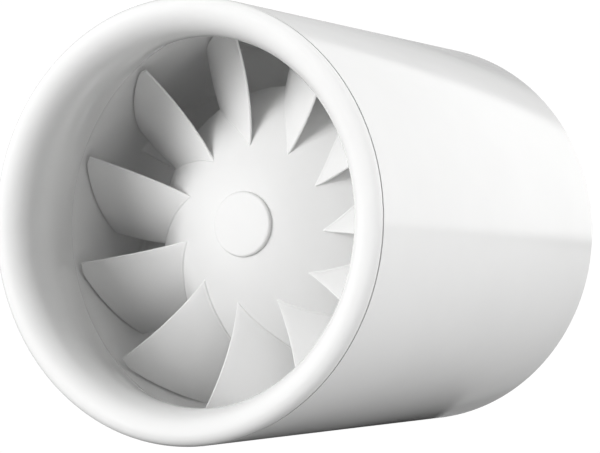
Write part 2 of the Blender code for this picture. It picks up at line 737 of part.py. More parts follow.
def build_tail_cone():
    """Hollow cone; its screw bosses are what is left where they stand in the hollow."""
    front = NACELLE_BACK + GAP
    spigot_front = NACELLE_BACK - TAIL_SPIGOT
    spigot_outer = NACELLE_RADIUS - NACELLE_WALL - GAP
    spigot_inner = spigot_outer - TAIL_WALL
    outside = tail_steps(front, TAIL_TIP - front)
    profile = [(0.0, spigot_front), (spigot_outer, spigot_front), (spigot_outer, front)]
    profile += outside + [(0.0, TAIL_TIP)]
    cone = turned("tail_cone", profile, "nacelle_white", HUB_STEPS, closed=False)
    inside = tail_steps(front, TAIL_TIP - TAIL_WALL - front, spigot_inner / NACELLE_RADIUS)
    hollow = turned("tail_hollow", [(0.0, spigot_front - THROUGH),
                                    (spigot_inner, spigot_front - THROUGH)]
                    + inside + [(0.0, TAIL_TIP - TAIL_WALL)], None, HUB_STEPS, closed=False)
    places = circle_centres(TAIL_SCREW_CIRCLE, tail_boss_angles())
    boolean(hollow, rods("tail_bosses", SCREW_HEAD_RADIUS + TAIL_BOSS_WALL,
                         spigot_front - 2 * THROUGH, TAIL_TIP + THROUGH, places))
    boolean(cone, hollow)
    boolean(cone, rods("tail_screw_holes", SCREW_RADIUS + GAP, spigot_front - THROUGH,
                       TAIL_TIP, places))
    boolean(cone, rods("tail_head_wells", SCREW_HEAD_RADIUS + GAP, TAIL_SCREW_SEAT,
                       TAIL_TIP, places))
    return cone


def build_tail_screws():
    screws = []
    for i, angle in enumerate(tail_boss_angles()):
        place = on_circle(TAIL_SCREW_CIRCLE, angle, TAIL_SCREW_SEAT + GAP)
        screw = turned_at(
            f"tail_screw_{i + 1}",
            screw_profile(SCREW_HEAD_RADIUS, SCREW_HEAD_HEIGHT, SCREW_RADIUS,
                          TAIL_SCREW_LENGTH),
            place, "steel", SMALL_STEPS, closed=False)
        screw.rotation_euler = (math.pi, 0.0, 0.0)
        cross_recess(screw, SCREW_HEAD_RADIUS, SCREW_HEAD_HEIGHT)
        screws.append(screw)
    return screws


# ------------------------------------------------------------------------------------------------
# Motor
# ------------------------------------------------------------------------------------------------
def core_back():
    return CORE_FRONT + CORE_LENGTH


def rear_shield_wall():
    """Station of the inner face of the rear shield, as far behind the core as the front one is."""
    return core_back() + (CORE_FRONT - FRONT_SHIELD - SHIELD_WALL)


def bolt_angles():
    return even_angles(POLES, math.pi / POLES)


def circle_loop(radius, count, centre=(0.0, 0.0)):
    return [(centre[0] + radius * math.cos(a), centre[1] + radius * math.sin(a))
            for a in even_angles(count)]


def pole_outline(middle):
    """One pole from slot to slot, as (radius, angle) points: shoe back, shoe end, bore and slit."""
    bore = ROTOR_RADIUS + AIR_GAP
    tooth_top = math.asin(POLE_HALF_WIDTH / YOKE_RADIUS)
    tooth_foot = math.asin(POLE_HALF_WIDTH / SHOE_BACK)
    slit = math.asin(SHADE_SLOT / 2 / bore)
    slit_top = SHOE_BACK - SHADE_DEPTH
    points = [
        (YOKE_RADIUS, -tooth_top), (SHOE_BACK, -tooth_foot), (SHOE_BACK, -SHOE_HALF_ANGLE),
        (bore, -SHOE_HALF_ANGLE), (bore, -SHOE_HALF_ANGLE / 2), (bore, 0.0),
        (bore, SHADE_ANGLE - slit), (slit_top, SHADE_ANGLE - slit * bore / slit_top),
        (slit_top, SHADE_ANGLE + slit * bore / slit_top), (bore, SHADE_ANGLE + slit),
        (bore, SHOE_HALF_ANGLE), (SHOE_BACK, SHOE_HALF_ANGLE), (SHOE_BACK, tooth_foot),
        (YOKE_RADIUS, tooth_top),
    ]
    return [(r * math.sin(middle + a), r * math.cos(middle + a)) for r, a in points]


def build_stator_core():
    inner = []
    for middle in even_angles(POLES):
        inner += pole_outline(middle)
        gap_middle = middle + math.pi / POLES
        inner += [(YOKE_RADIUS * math.sin(gap_middle + a), YOKE_RADIUS * math.cos(gap_middle + a))
                  for a in (-YOKE_CORNER, 0.0, YOKE_CORNER)]
    loops = [circle_loop(CORE_RADIUS, MID_STEPS), inner]
    for x, z in circle_centres(BOLT_CIRCLE, bolt_angles()):
        loops.append(circle_loop(BOLT_RADIUS + GAP, BOLT_STEPS, (x, z)))
    place = Matrix.Translation((0, along(CORE_FRONT + CORE_LENGTH / 2), 0)) @ Matrix.Rotation(
        math.pi / 2, 4, "X")
    return plate("stator_core", loops, CORE_LENGTH, place, "lamination")


def rounded_rect(width, height, radius, corner_points=3):
    points = []
    for quarter, (sx, sy) in enumerate(((1, 1), (-1, 1), (-1, -1), (1, -1))):
        for i in range(corner_points + 1):
            angle = math.pi / 2 * (quarter + i / corner_points)
            points.append((sx * (width / 2 - radius) + radius * math.cos(angle),
                           sy * (height / 2 - radius) + radius * math.sin(angle)))
    return points


def build_coil(index, middle):
    """A winding round one pole, lying between the pole shoe and the yoke."""
    inner_width = 2 * (POLE_HALF_WIDTH + GAP)
    inner_height = CORE_LENGTH + 2 * GAP
    foot = SHOE_BACK + 1.5 * GAP
    depth = math.sqrt((YOKE_RADIUS - GAP) ** 2 - (inner_width / 2 + COIL_BUILD) ** 2) - foot
    loops = [
        rounded_rect(inner_width + 2 * COIL_BUILD, inner_height + 2 * COIL_BUILD, COIL_BUILD),
        rounded_rect(inner_width, inner_height, COIL_CORNER, 1)[::-1],
    ]
    place = (
        Matrix.Translation((0, along(CORE_FRONT + CORE_LENGTH / 2), 0))
        @ Matrix.Rotation(middle, 4, "Y")
        @ Matrix.Translation((0, 0, foot + depth / 2))
    )
    return plate(f"coil_{index}", loops, depth, place, "copper")


def build_shading_ring(index, middle):
    """Closed copper loop round the trailing side of a pole shoe."""
    radius = ROTOR_RADIUS + AIR_GAP + SHADE_WIRE + SHADE_DEPTH
    beyond = SHADE_WIRE + GAP
    points = []
    for angle, station in (
        (SHADE_ANGLE, CORE_FRONT - beyond), (SHADE_ANGLE, core_back() + beyond),
        (SHOE_HALF_ANGLE + SHADE_OVERHANG, core_back() + beyond),
        (SHOE_HALF_ANGLE + SHADE_OVERHANG, CORE_FRONT - beyond),
    ):
        points.append(on_circle(radius, middle + angle, station))
    return wire(f"shading_ring_{index}", points, SHADE_WIRE, "copper", cyclic=True)


def shield_profile(outward):
    """Shield profile as (radius, distance), distance growing outward from the shield's inner wall."""
    bore = BUSH_RADIUS + GAP
    rim_in = CORE_RADIUS + GAP
    rim_out = rim_in + SHIELD_RIM
    step = YOKE_RADIUS + SHIELD_STEP
    reach = CORE_FRONT - FRONT_SHIELD - SHIELD_WALL + SHIELD_LAP
    ledge = reach - SHIELD_LAP - GAP
    boss_end = boss_depth()
    profile = [
        (rim_out - SHIELD_EDGE, SHIELD_WALL), (rim_out, SHIELD_WALL - SHIELD_EDGE),
        (rim_out, -reach), (rim_in, -reach), (rim_in, -ledge), (step, -ledge), (step, 0.0),
        (bore, 0.0), (bore, boss_end - BOSS_FLOOR),
    ]
    profile += outward(boss_end)
    return profile + [(BOSS_RADIUS, boss_end), (BOSS_RADIUS, SHIELD_WALL)]


def boss_depth():
    return BUSH_LENGTH + FELT_HEIGHT + 2 * GAP + BOSS_FLOOR - BUSH_INSET


def pierced_end(end):
    return [(SHAFT_RADIUS + 2 * GAP, end - BOSS_FLOOR), (SHAFT_RADIUS + 2 * GAP, end)]


def blind_end(end):
    return [(0.0, end - BOSS_FLOOR), (0.0, end)]


def build_front_shield():
    inner_wall = FRONT_SHIELD + SHIELD_WALL
    profile = [(r, inner_wall - d) for r, d in shield_profile(pierced_end)]
    shield = turned("motor_front_shield", profile, "die_cast", MID_STEPS)
    boolean(shield, rods("front_shield_bolt_holes", BOLT_RADIUS + GAP,
                         FRONT_SHIELD + BOLT_SINK - THROUGH, CORE_FRONT + BOLT_HOLE_DEPTH,
                         circle_centres(BOLT_CIRCLE, bolt_angles()), BOLT_STEPS))
    boolean(shield, rods("front_shield_mount_holes", SCREW_RADIUS + GAP,
                         FRONT_SHIELD - THROUGH, inner_wall + THROUGH,
                         circle_centres(MOUNT_CIRCLE, even_angles(MOUNTS))))
    return shield


def build_rear_shield():
    inner_wall = rear_shield_wall()
    profile = [(r, inner_wall + d) for r, d in shield_profile(blind_end)]
    on_axis = [i for i, (r, _) in enumerate(profile) if r == 0.0]
    profile = profile[on_axis[1]:] + profile[: on_axis[1]]
    shield = turned("motor_rear_shield", profile, "die_cast", MID_STEPS, closed=False)
    boolean(shield, rods("rear_shield_bolt_holes", BOLT_RADIUS + GAP,
                         core_back() - BOLT_HOLE_DEPTH, inner_wall + SHIELD_WALL + THROUGH,
                         circle_centres(BOLT_CIRCLE, bolt_angles()), BOLT_STEPS))
    leads = circle_centres(CUTOUT_CIRCLE, (math.pi / 4, -math.pi / 4))
    boolean(shield, rods("lead_holes", LEAD_HOLE, inner_wall - THROUGH,
                         inner_wall + SHIELD_WALL + THROUGH, leads))
    return shield


def bush_profile():
    return tube_profile(SHAFT_RADIUS + GAP, BUSH_RADIUS, 0.0, BUSH_LENGTH, BUSH_EDGE)


def build_bearings():
    """Bushes, felt oil rings and thrust washers; each rear one mirrors its front one."""
    made = {}
    walls = {"front": (FRONT_SHIELD + SHIELD_WALL, -1), "rear": (rear_shield_wall(), 1)}
    for end, (wall, out) in walls.items():
        bush_in = wall - out * BUSH_INSET
        bush_out = bush_in + out * BUSH_LENGTH
        bush = [(r, bush_in + out * d) for r, d in bush_profile()]
        felt_in = bush_out + out * GAP
        felt = tube_profile(SHAFT_RADIUS + GAP, BUSH_RADIUS, felt_in, felt_in + out * FELT_HEIGHT)
        thrust_in = bush_in - out * GAP
        thrust = tube_profile(SHAFT_RADIUS + GAP, BUSH_RADIUS - THRUST_STEP, thrust_in,
                              thrust_in - out * THRUST_HEIGHT)
        made[end] = (
            turned(f"{end}_bush", bush, "bronze", RING_STEPS),
            turned(f"{end}_felt_ring", felt, "felt", RING_STEPS),
            turned(f"{end}_thrust_washer", thrust, "nylon", RING_STEPS),
        )
    return made


def rotor_front():
    """Front face of the front cage ring, just behind the front thrust washer."""
    return FRONT_SHIELD + SHIELD_WALL + BUSH_INSET + THRUST_HEIGHT + 2 * GAP


def build_rotor():
    bore = SHAFT_RADIUS + GAP
    core = tube_profile(bore, ROTOR_RADIUS, CORE_FRONT, core_back())
    front_back = CORE_FRONT - GAP
    rear_front = core_back() + GAP
    rear_end = rear_shield_wall() - BUSH_INSET - THRUST_HEIGHT - 2 * GAP
    front = tube_profile(bore, ROTOR_RADIUS - CAGE_STEP, rotor_front(), front_back)
    rear = tube_profile(bore, ROTOR_RADIUS - CAGE_STEP, rear_front, rear_end)
    return [
        turned("rotor_core", core, "lamination", MID_STEPS),
        turned("rotor_ring_front", front, "die_cast", MID_STEPS),
        turned("rotor_ring_rear", rear, "die_cast", MID_STEPS),
    ]


def build_shaft():
    front = NUT_SEAT - WASHER_HEIGHT - NUT_HEIGHT - 2 * GAP - SHAFT_PROUD
    end = rear_shield_wall() + boss_depth() - BOSS_FLOOR - 2 * GAP
    profile = [
        (0.0, front), (SPIGOT_RADIUS - SHAFT_EDGE, front), (SPIGOT_RADIUS, front + SHAFT_EDGE),
        (SPIGOT_RADIUS, SHAFT_SHOULDER), (SHAFT_RADIUS, SHAFT_SHOULDER),
        (SHAFT_RADIUS, end - SHAFT_EDGE), (SHAFT_RADIUS - SHAFT_EDGE, end), (0.0, end),
    ]
    return turned("motor_shaft", profile, "steel", RING_STEPS, closed=False)


def build_motor_bolts():
    """Four bolts that go in from behind and pull both shields onto the core."""
    seat = rear_shield_wall() + SHIELD_WALL + GAP
    length = seat - (FRONT_SHIELD + BOLT_SINK)
    bolts = []
    for i, angle in enumerate(bolt_angles()):
        bolt = turned_at(
            f"motor_bolt_{i + 1}",
            screw_profile(BOLT_HEAD_RADIUS, BOLT_HEAD_HEIGHT, BOLT_RADIUS, length),
            on_circle(BOLT_CIRCLE, angle, seat), "steel", BOLT_STEPS, closed=False)
        bolt.rotation_euler = (math.pi, 0.0, 0.0)
        bolts.append(bolt)
    return bolts


def build_mounts():
    """Rubber bushes in the nacelle wall, and the screws that hold the motor through them."""
    front = NACELLE_FRONT - GAP - MOUNT_FLANGE_HEIGHT
    back = FRONT_SHIELD - GAP
    wall_back = NACELLE_FRONT + NACELLE_WALL + GAP
    bore = SCREW_RADIUS + GAP
    edge = MOUNT_EDGE
    profile = [(r, s - front) for r, s in (
        (MOUNT_FLANGE - edge, front), (MOUNT_FLANGE, front + edge),
        (MOUNT_FLANGE, NACELLE_FRONT - GAP), (MOUNT_NECK, NACELLE_FRONT - GAP),
        (MOUNT_NECK, wall_back), (MOUNT_FLANGE, wall_back), (MOUNT_FLANGE, back - edge),
        (MOUNT_FLANGE - edge, back), (bore, back), (bore, front),
    )]
    length = FRONT_SHIELD + SHIELD_WALL - front - GAP
    made = []
    for i, angle in enumerate(even_angles(MOUNTS)):
        made.append(turned_at(f"rubber_mount_{i + 1}", profile,
                              on_circle(MOUNT_CIRCLE, angle, front), "rubber", SMALL_STEPS))
        screw = turned_at(
            f"mount_screw_{i + 1}",
            screw_profile(SCREW_HEAD_RADIUS, SCREW_HEAD_HEIGHT, SCREW_RADIUS, length),
            on_circle(MOUNT_CIRCLE, angle, front - GAP), "steel", BOLT_STEPS, closed=False)
        made.append(screw)
    return made


# ------------------------------------------------------------------------------------------------
# Wiring
# ------------------------------------------------------------------------------------------------
def build_terminal_block():
    """Block on the back of the motor, with one screw for each wire way."""
    width, depth, height = BLOCK_SIZE
    front = rear_shield_wall() + SHIELD_WALL + GAP
    centre = Vector((0.0, along(front + depth / 2), BLOCK_OFFSET))
    bm = box_bm((width, depth, height), centre)
    bmesh.ops.bevel(bm, geom=bm.edges[:], offset=BLOCK_EDGE, segments=1, affect="EDGES",
                    profile=0.5, material=-1)
    block = object_from(bm, "terminal_block", "nylon")
    ways = [(i - (BLOCK_WAYS - 1) / 2) * BLOCK_PITCH for i in range(BLOCK_WAYS)]
    places = [(x, BLOCK_OFFSET) for x in ways]
    back = front + depth
    boolean(block, rods("terminal_wells", TERMINAL_RADIUS + GAP, front + TERMINAL_FLOOR,
                        back + THROUGH, places))
    screws = []
    for i, x in enumerate(ways):
        profile = rod_profile(TERMINAL_RADIUS, 0.0, TERMINAL_HEIGHT)
        screw = turned_at(f"terminal_screw_{i + 1}", profile,
                          Vector((x, along(front + TERMINAL_FLOOR + GAP), BLOCK_OFFSET)), "brass",
                          SMALL_STEPS, closed=False)
        slot = object_from(box_bm((3 * TERMINAL_RADIUS, TERMINAL_SLOT_DEPTH, TERMINAL_SLOT_WIDTH),
                                  (0, TERMINAL_HEIGHT, 0)), f"terminal_slot_{i + 1}")
        slot.location = screw.location
        boolean(screw, slot)
        screws.append(screw)
    return block, screws


def build_gland():
    """Rubber cable entry in the casing wall, on the -X side."""
    wall_in = TUBE_BORE - GAP
    wall_out = TUBE_RADIUS + GAP
    flange = GLAND_FLANGE
    inner_end = wall_in - GLAND_FLANGE_HEIGHT
    outer_end = wall_out + GLAND_FLANGE_HEIGHT
    sag = TUBE_RADIUS - math.sqrt(TUBE_RADIUS ** 2 - flange ** 2)
    profile = [
        (flange, inner_end - sag), (flange, wall_in - sag), (GLAND_NECK, wall_in - sag),
        (GLAND_NECK, wall_out), (flange, wall_out), (flange - GLAND_TAPER, outer_end),
        (GLAND_BORE, outer_end), (GLAND_BORE, inner_end - sag),
    ]
    gland = turned_at("cable_gland", profile, Vector((0.0, along(GLAND_STATION), 0.0)), "rubber",
                      SMALL_STEPS)
    gland.rotation_euler = (0.0, 0.0, math.pi / 2)
    return gland


def build_thermal_cutout():
    front = CORE_FRONT + (CORE_LENGTH - CUTOUT_LENGTH) / 2
    profile = [
        (0.0, 0.0), (CUTOUT_RADIUS - CUTOUT_EDGE, 0.0), (CUTOUT_RADIUS, CUTOUT_EDGE),
        (CUTOUT_RADIUS, CUTOUT_LENGTH - CUTOUT_EDGE), (CUTOUT_RADIUS - CUTOUT_EDGE, CUTOUT_LENGTH),
        (0.0, CUTOUT_LENGTH),
    ]
    return turned_at("thermal_cutout", profile, on_circle(CUTOUT_CIRCLE, math.pi / 4, front),
                     "nylon", SMALL_STEPS, closed=False)


def build_leads():
    """The live lead starts at the thermal cutout and the neutral one at the far coil pair."""
    start = CORE_FRONT + (CORE_LENGTH + CUTOUT_LENGTH) / 2 + GAP
    wall = rear_shield_wall() + SHIELD_WALL
    block_back = wall + GAP + BLOCK_SIZE[1]
    made = []
    for name, side, material in (("lead_live", 1, "lead_brown"), ("lead_neutral", -1, "lead_blue")):
        corner = on_circle(CUTOUT_CIRCLE, side * math.pi / 4)
        edge_x = side * (BLOCK_SIZE[0] / 2 + 3 * LEAD_RADIUS)
        points = [
            Vector((corner.x, along(start), corner.z)),
            Vector((corner.x, along(wall + LEAD_BEND / 2), corner.z)),
            Vector((edge_x, along(wall + LEAD_BEND * 3 / 2), BLOCK_OFFSET)),
            Vector((edge_x, along(block_back), BLOCK_OFFSET)),
            Vector((edge_x - side * LEAD_BEND, along(block_back + LEAD_STAND), BLOCK_OFFSET)),
            Vector((side * BLOCK_PITCH, along(block_back + LEAD_STAND), BLOCK_OFFSET)),
        ]
        made.append(wire(name, points, LEAD_RADIUS, material))
    return made


# ------------------------------------------------------------------------------------------------
# Assembly
# ------------------------------------------------------------------------------------------------
def build():
    casing = build_casing()
    fixed = [build_intake_ring(), build_outlet_ring(), build_vane_unit(), build_tail_cone()]
    fixed += build_tail_screws()

    shaft = build_shaft()
    turning = [build_impeller(), build_nose_cap(), build_nut(), build_washer()]
    turning += build_rotor()
    bearings = build_bearings()
    for bush, felt, thrust in bearings.values():
        fixed += [bush, felt]
        turning.append(thrust)
    for piece in turning:
        own(piece, shaft)

    fixed += [build_front_shield(), build_rear_shield(), build_stator_core()]
    for i, middle in enumerate(even_angles(POLES)):
        fixed += [build_coil(i + 1, middle), build_shading_ring(i + 1, middle)]
    fixed += build_motor_bolts() + build_mounts()
    block, screws = build_terminal_block()
    fixed += [block, build_gland(), build_thermal_cutout()] + screws + build_leads()
    for piece in fixed:
        own(piece, casing)


clear_scene()
SLOTS = {name: make_material(name) for name in MATERIALS}
PARTS = new_collection("bathroom_extractor_fan")
CUTTERS = new_collection("cutters", hidden=True)
build()
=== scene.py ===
"""Looks of the inline bathroom extractor fan: moulded white housing, impeller, vanes and motor."""

import json
import math

import bmesh
import bpy
from mathutils import Matrix, Vector


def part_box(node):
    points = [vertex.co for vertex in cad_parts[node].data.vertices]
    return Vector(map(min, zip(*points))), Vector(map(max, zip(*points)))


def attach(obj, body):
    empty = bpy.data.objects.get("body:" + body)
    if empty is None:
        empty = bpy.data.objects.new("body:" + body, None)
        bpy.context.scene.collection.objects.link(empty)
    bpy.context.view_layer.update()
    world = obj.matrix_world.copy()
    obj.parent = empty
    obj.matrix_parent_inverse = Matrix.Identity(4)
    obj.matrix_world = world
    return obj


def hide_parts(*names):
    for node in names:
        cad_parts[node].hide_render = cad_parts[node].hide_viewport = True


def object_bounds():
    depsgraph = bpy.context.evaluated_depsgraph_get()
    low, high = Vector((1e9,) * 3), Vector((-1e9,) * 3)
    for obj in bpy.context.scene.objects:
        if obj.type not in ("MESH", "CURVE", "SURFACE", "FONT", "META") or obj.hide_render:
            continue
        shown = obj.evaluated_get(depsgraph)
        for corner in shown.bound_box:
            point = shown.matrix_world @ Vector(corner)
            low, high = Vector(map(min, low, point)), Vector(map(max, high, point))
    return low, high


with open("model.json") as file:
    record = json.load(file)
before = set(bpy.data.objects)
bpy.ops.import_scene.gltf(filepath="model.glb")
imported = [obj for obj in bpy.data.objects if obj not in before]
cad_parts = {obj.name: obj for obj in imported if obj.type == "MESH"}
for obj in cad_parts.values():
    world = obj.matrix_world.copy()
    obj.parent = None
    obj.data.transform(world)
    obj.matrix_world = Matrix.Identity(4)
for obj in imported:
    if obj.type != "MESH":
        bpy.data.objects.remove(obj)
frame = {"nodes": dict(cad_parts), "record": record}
CAD_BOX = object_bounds()

MM = 0.001
TAU = 2 * math.pi
GAP = 0.3 * MM
LENGTH = CAD_BOX[1].y - CAD_BOX[0].y


def stations(node):
    """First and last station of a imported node; stations run back from the intake lip."""
    low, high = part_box(node)
    return low.y + LENGTH / 2, high.y + LENGTH / 2


def half_width(node):
    """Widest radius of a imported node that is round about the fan's axis."""
    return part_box(node)[1].x


# ---- sizes in metres, read from the frame where a packed box gives them ------------------------
TUBE_RADIUS = half_width("casing_tube")
TUBE_BORE = half_width("guide_vane_unit") + GAP
CASING_EDGE = 0.08 * MM
SEAM = stations("casing_tube")[0] - GAP
SEAM_GAP = 0.55 * MM

LIP_RADIUS = 47.0 * MM
LIP_STEP = 0.1 * MM
LIP_EDGE = 0.02 * MM
THROAT_RADIUS = 41.3 * MM
THROAT = 8.7 * MM
FLARE_BLEND = 0.35
SPIGOT_END = 28.4 * MM
LIP_CELLS = 16
BELL_CELLS = 24
WIDENING_CELLS = 20

NOSE = 28.9 * MM
HUB_RIM_RADIUS = 33.4 * MM
HUB_DEPTH = 19.6 * MM
HUB_ROUNDNESS = 2.1
HUB_WALL = 1.8 * MM
HUB_RIM_WALL = 0.8 * HUB_WALL
HUB_UNDERSIDE = 1.25 * HUB_WALL
HUB_EDGE = 0.35 * MM
HUB_EDGE_FRONT = 0.3 * MM
HUB_EDGE_DROP = 0.12 * MM
HUB_EDGE_TURN = 0.4 * MM
HUB_CELLS = 24
HUB_INSIDE_RADII = [radius * MM for radius in (30, 27, 24, 21, 18, 15, 12, 10)]
NUT_WELL = 6.3 * MM
NUT_SEAT = 37.0 * MM
WELL_EDGE = 0.25 * MM
WELL_OUTSIDE = 7.9 * MM
WELL_JOIN = 1.4 * HUB_WALL
WELL_FLOOR = 1.6 * MM
BOSS_SHOULDER = 3.0 * MM
BOSS_NECK = 6.0 * MM
BOSS_RADIUS = 5.4 * MM
BOSS_BACK = 49.3 * MM
BOSS_BORE = 2.8 * MM
BOSS_ROUND = 0.4 * MM

BLADES = 11
BLADE_PHASE = math.radians(-3.0)
BLADE_ROOT_RADIUS = 18.7 * MM
BLADE_ROOT_END = HUB_RIM_RADIUS - 0.3 * MM
BLADE_TIP_RADIUS = 46.4 * MM
TIP_LEAD = 28.9 * MM
TIP_TRAIL = 47.3 * MM
TIP_ROUND = 1.8 * MM
TIP_ROUND_CHORD = 0.14
LEAD_BOW = 2.6 * MM
ROOT_WRAP = 28.0
TIP_WRAP = 22.8
BLADE_CAMBER = 0.38
BLADE_HALVES = (0.3 * MM, 0.55 * MM, 0.3 * MM)
BLADE_FILLET = 0.12 * MM
BLADE_SPANS = [-0.03, 0.0, 0.008, 0.018, 0.032, 0.05, 0.075, 0.11, 0.16, 0.23, 0.31, 0.4, 0.5, 0.6,
               0.7, 0.8, 0.88, 0.94, 0.98, 1.0]

CAP_RADIUS = half_width("nose_cap")
CAP_RISE = 0.45 * MM
CAP_CROWN = 0.28 * MM
CAP_CROWN_CURVE = 2.2
CAP_ROUND = 0.7 * MM
CAP_SEAT = 0.1 * MM
CAP_SKIRT = 1.8 * MM
CAP_SKIRT_WALL = 0.9 * MM
CAP_WALL = 1.5 * MM
CAP_DISH = 0.1 * MM
CAP_CELLS = 8

VANE_RING_FRONT, NACELLE_BACK = stations("guide_vane_unit")
RETAINER_FRONT, RETAINER_BACK = stations("retaining_ring")
RETAINER_WALL = 1.6 * MM
RETAINER_FOOT = 2.2 * MM
RETAINER_ROUND = 0.2 * MM
VANE_RING_BACK = RETAINER_FRONT - GAP
VANE_RING_WALL = 1.0 * MM
VANE_RING_BORE = TUBE_BORE - GAP - VANE_RING_WALL
VANE_RING_ROUND = 0.15 * MM
NACELLE_RADIUS = half_width("tail_cone")
NACELLE_WALL = 1.8 * MM
NACELLE_FRONT = 51.4 * MM
NACELLE_EYE = 10.0 * MM
NACELLE_CORNER = 2.2 * MM
NACELLE_SHOULDER = 5.0 * MM
NACELLE_ROUND = 0.25 * MM

VANES = 9
VANE_FRONT = 53.0 * MM
VANE_BACK = 78.5 * MM
VANE_WRAP = math.radians(24.0)
VANE_PHASE = math.radians(14.0)
VANE_CURVE = 1.8
VANE_HALVES = (0.5 * MM, 0.75 * MM, 0.4 * MM)
VANE_FILLET = 0.9 * MM
VANE_SPANS = [-0.04, 0.0, 0.015, 0.035, 0.065, 0.1, 0.16, 0.3, 0.5, 0.7, 0.84, 0.9, 0.935, 0.965,
              0.985, 1.0, 1.04]

SECTION_SIDE_CELLS = 16
SECTION_END_CELLS = 6
SECTION_LEAD = 0.012
SECTION_TRAIL = 0.99
SLOPE_STEP = 0.01

TAIL_FRONT, TAIL_TIP = stations("tail_cone")
TAIL_WALL = 1.8 * MM
TAIL_ROUNDNESS = 2.2
TAIL_CROWDING = 1.5
TAIL_CELLS = 30
TAIL_HOLLOW_CELLS = 12
TAIL_BOSS = 4.0 * MM
TAIL_SCREW_CIRCLE = 25.0 * MM
TAIL_SCREW_SEAT = 99.5 * MM
TAIL_SCREW_ANGLES = [math.pi / 3 + TAU * i / 3 for i in range(3)]
TAIL_HOLE_FRONT = TAIL_FRONT - 5.0 * MM
OVERCUT = 1.0 * MM

LUG_SIZE = (5.6 * MM, 4.0 * MM, 10.1 * MM)
LUG_ROUND = 0.4 * MM
LUG_RADIUS = 27.25 * MM
LUG_STATION = NACELLE_BACK - 5.3 * MM

SCREW_HEAD = 2.8 * MM
SCREW_HEAD_HEIGHT = 1.8 * MM
SCREW_SHANK = 1.5 * MM
SCREW_LENGTH = 8.4 * MM
THREAD_PITCH = 0.7 * MM
THREAD_START = 0.4 * MM
THREAD_CORE = 0.86
THREAD_TIP = 0.7 * MM
THREAD_RUNOUT = 0.5 * MM
THREAD_POINT = 0.35
HEAD_FLAT = 0.55
HEAD_SIDE = 0.35
HEAD_EDGE = 0.1 * MM
CROSS_LENGTH = 0.95
CROSS_DEPTH = 0.9
CROSS_WIDTH = 0.26

GLAND_STATION = sum(stations("cable_gland")) / 2
GLAND_HOLE_RADIUS = 4.5 * MM
GLAND_HOLE_LENGTH = 6.0 * MM
GLAND_HOLE_INSET = 2.0 * MM
GLAND_FLANGE = 6.0 * MM
GLAND_FLANGE_HEIGHT = 1.4 * MM
GLAND_TAPER = 0.4 * MM
GLAND_NECK = 4.2 * MM
GLAND_BORE = 3.0 * MM
GLAND_SEAT = 0.36 * MM
GLAND_ROUND = 0.4 * MM

FULL_STEPS = 160
PART_STEPS = 96
GLAND_STEPS = 64
HOLLOW_STEPS = 64
HOLE_STEPS = 40
SMALL_STEPS = 32
CORNER_CELLS = 3
CORNER_SHARE = 0.45
FLAT_CORNER = math.radians(160)
SMOOTH_ANGLE = math.radians(30)
MERGE_DISTANCE = 0.002 * MM

# ---- stage ---------------------------------------------------------------------------------------
FLOOR_HALF_SIDE = 3.0
FLOOR_GAP = 0.2 * MM
FLOOR_GREY = 0.38
BACKGROUND_GLOW = 1.02
FRONT_LEFT_GLOW = 0.65
FRONT_RIGHT_GLOW = 0.12
FLOOR_GLOW = 0.3
PANEL_GLOW = 1.15
SIDE_GLOW = 0.55
PANEL_LEAN = 0.22
PANEL_EDGE = 0.03
ROOM_BLEND = 0.3
HORIZON_BLEND = 0.02

CAMERA_TURN = math.radians(28.763)
CAMERA_RISE = math.radians(-1.478)
CAMERA_ROLL = math.radians(0.198)
CAMERA_DISTANCE = 9.772 * TUBE_RADIUS
CAMERA_ASIDE = 0.579 * TUBE_RADIUS
CAMERA_LIFT = -0.025 * TUBE_RADIUS
AIM_AHEAD = 0.11 * TUBE_RADIUS
LENS = 133.326
SENSOR = 36.0
CLIP_START = 0.01

# name, place, target, width and height, power in watts
SOFTBOXES = [
    ("front_left_softbox", (-0.36, -1.02, 0.20), (0, -0.05, 0), (0.6, 0.5), 9.0),
    ("rear_softbox", (-0.40, 1.05, 0.25), (0, 0.05, 0), (0.6, 0.5), 6.0),
    ("right_softbox", (1.1, -0.04, 0.22), (0, 0, 0), (0.16, 0.5), 6.4),
]


def along(station):
    """World Y of a station."""
    return station - LENGTH / 2


def polar(radius, angle, station):
    """A point at a radius, turned clockwise from straight up as seen from the intake."""
    return Vector((radius * math.sin(angle), along(station), radius * math.cos(angle)))


# ------------------------------------------------------------------------------------------------
# Shader groups
# ------------------------------------------------------------------------------------------------
def new_group(name, inputs, outputs):
    group = bpy.data.node_groups.new(name, "ShaderNodeTree")
    for label, kind, value in inputs:
        socket = group.interface.new_socket(label, in_out="INPUT", socket_type=kind)
        socket.default_value = value
    for label, kind in outputs:
        group.interface.new_socket(label, in_out="OUTPUT", socket_type=kind)
    return group, group.nodes.new("NodeGroupInput"), group.nodes.new("NodeGroupOutput")


def feed(group, socket, item):
    """Sets a socket to a number, or links it to another node's output."""
    if isinstance(item, (int, float)):
        socket.default_value = item
    else:
        group.links.new(item, socket)


def noise(group, vector, scale, detail, rough):
    node = group.nodes.new("ShaderNodeTexNoise")
    node.inputs["Detail"].default_value = detail
    node.inputs["Roughness"].default_value = rough
    group.links.new(vector, node.inputs["Vector"])
    feed(group, node.inputs["Scale"], scale)
    return node.outputs["Fac"]


def remap(group, value, low, high, to_low, to_high):
    node = group.nodes.new("ShaderNodeMapRange")
    group.links.new(value, node.inputs["Value"])
    for label, item in (("From Min", low), ("From Max", high), ("To Min", to_low),
                        ("To Max", to_high)):
        feed(group, node.inputs[label], item)
    return node.outputs["Result"]


def math_node(group, operation, *items):
    node = group.nodes.new("ShaderNodeMath")
    node.operation = operation
    for socket, item in zip(node.inputs, items):
        feed(group, socket, item)
    return node.outputs[0]


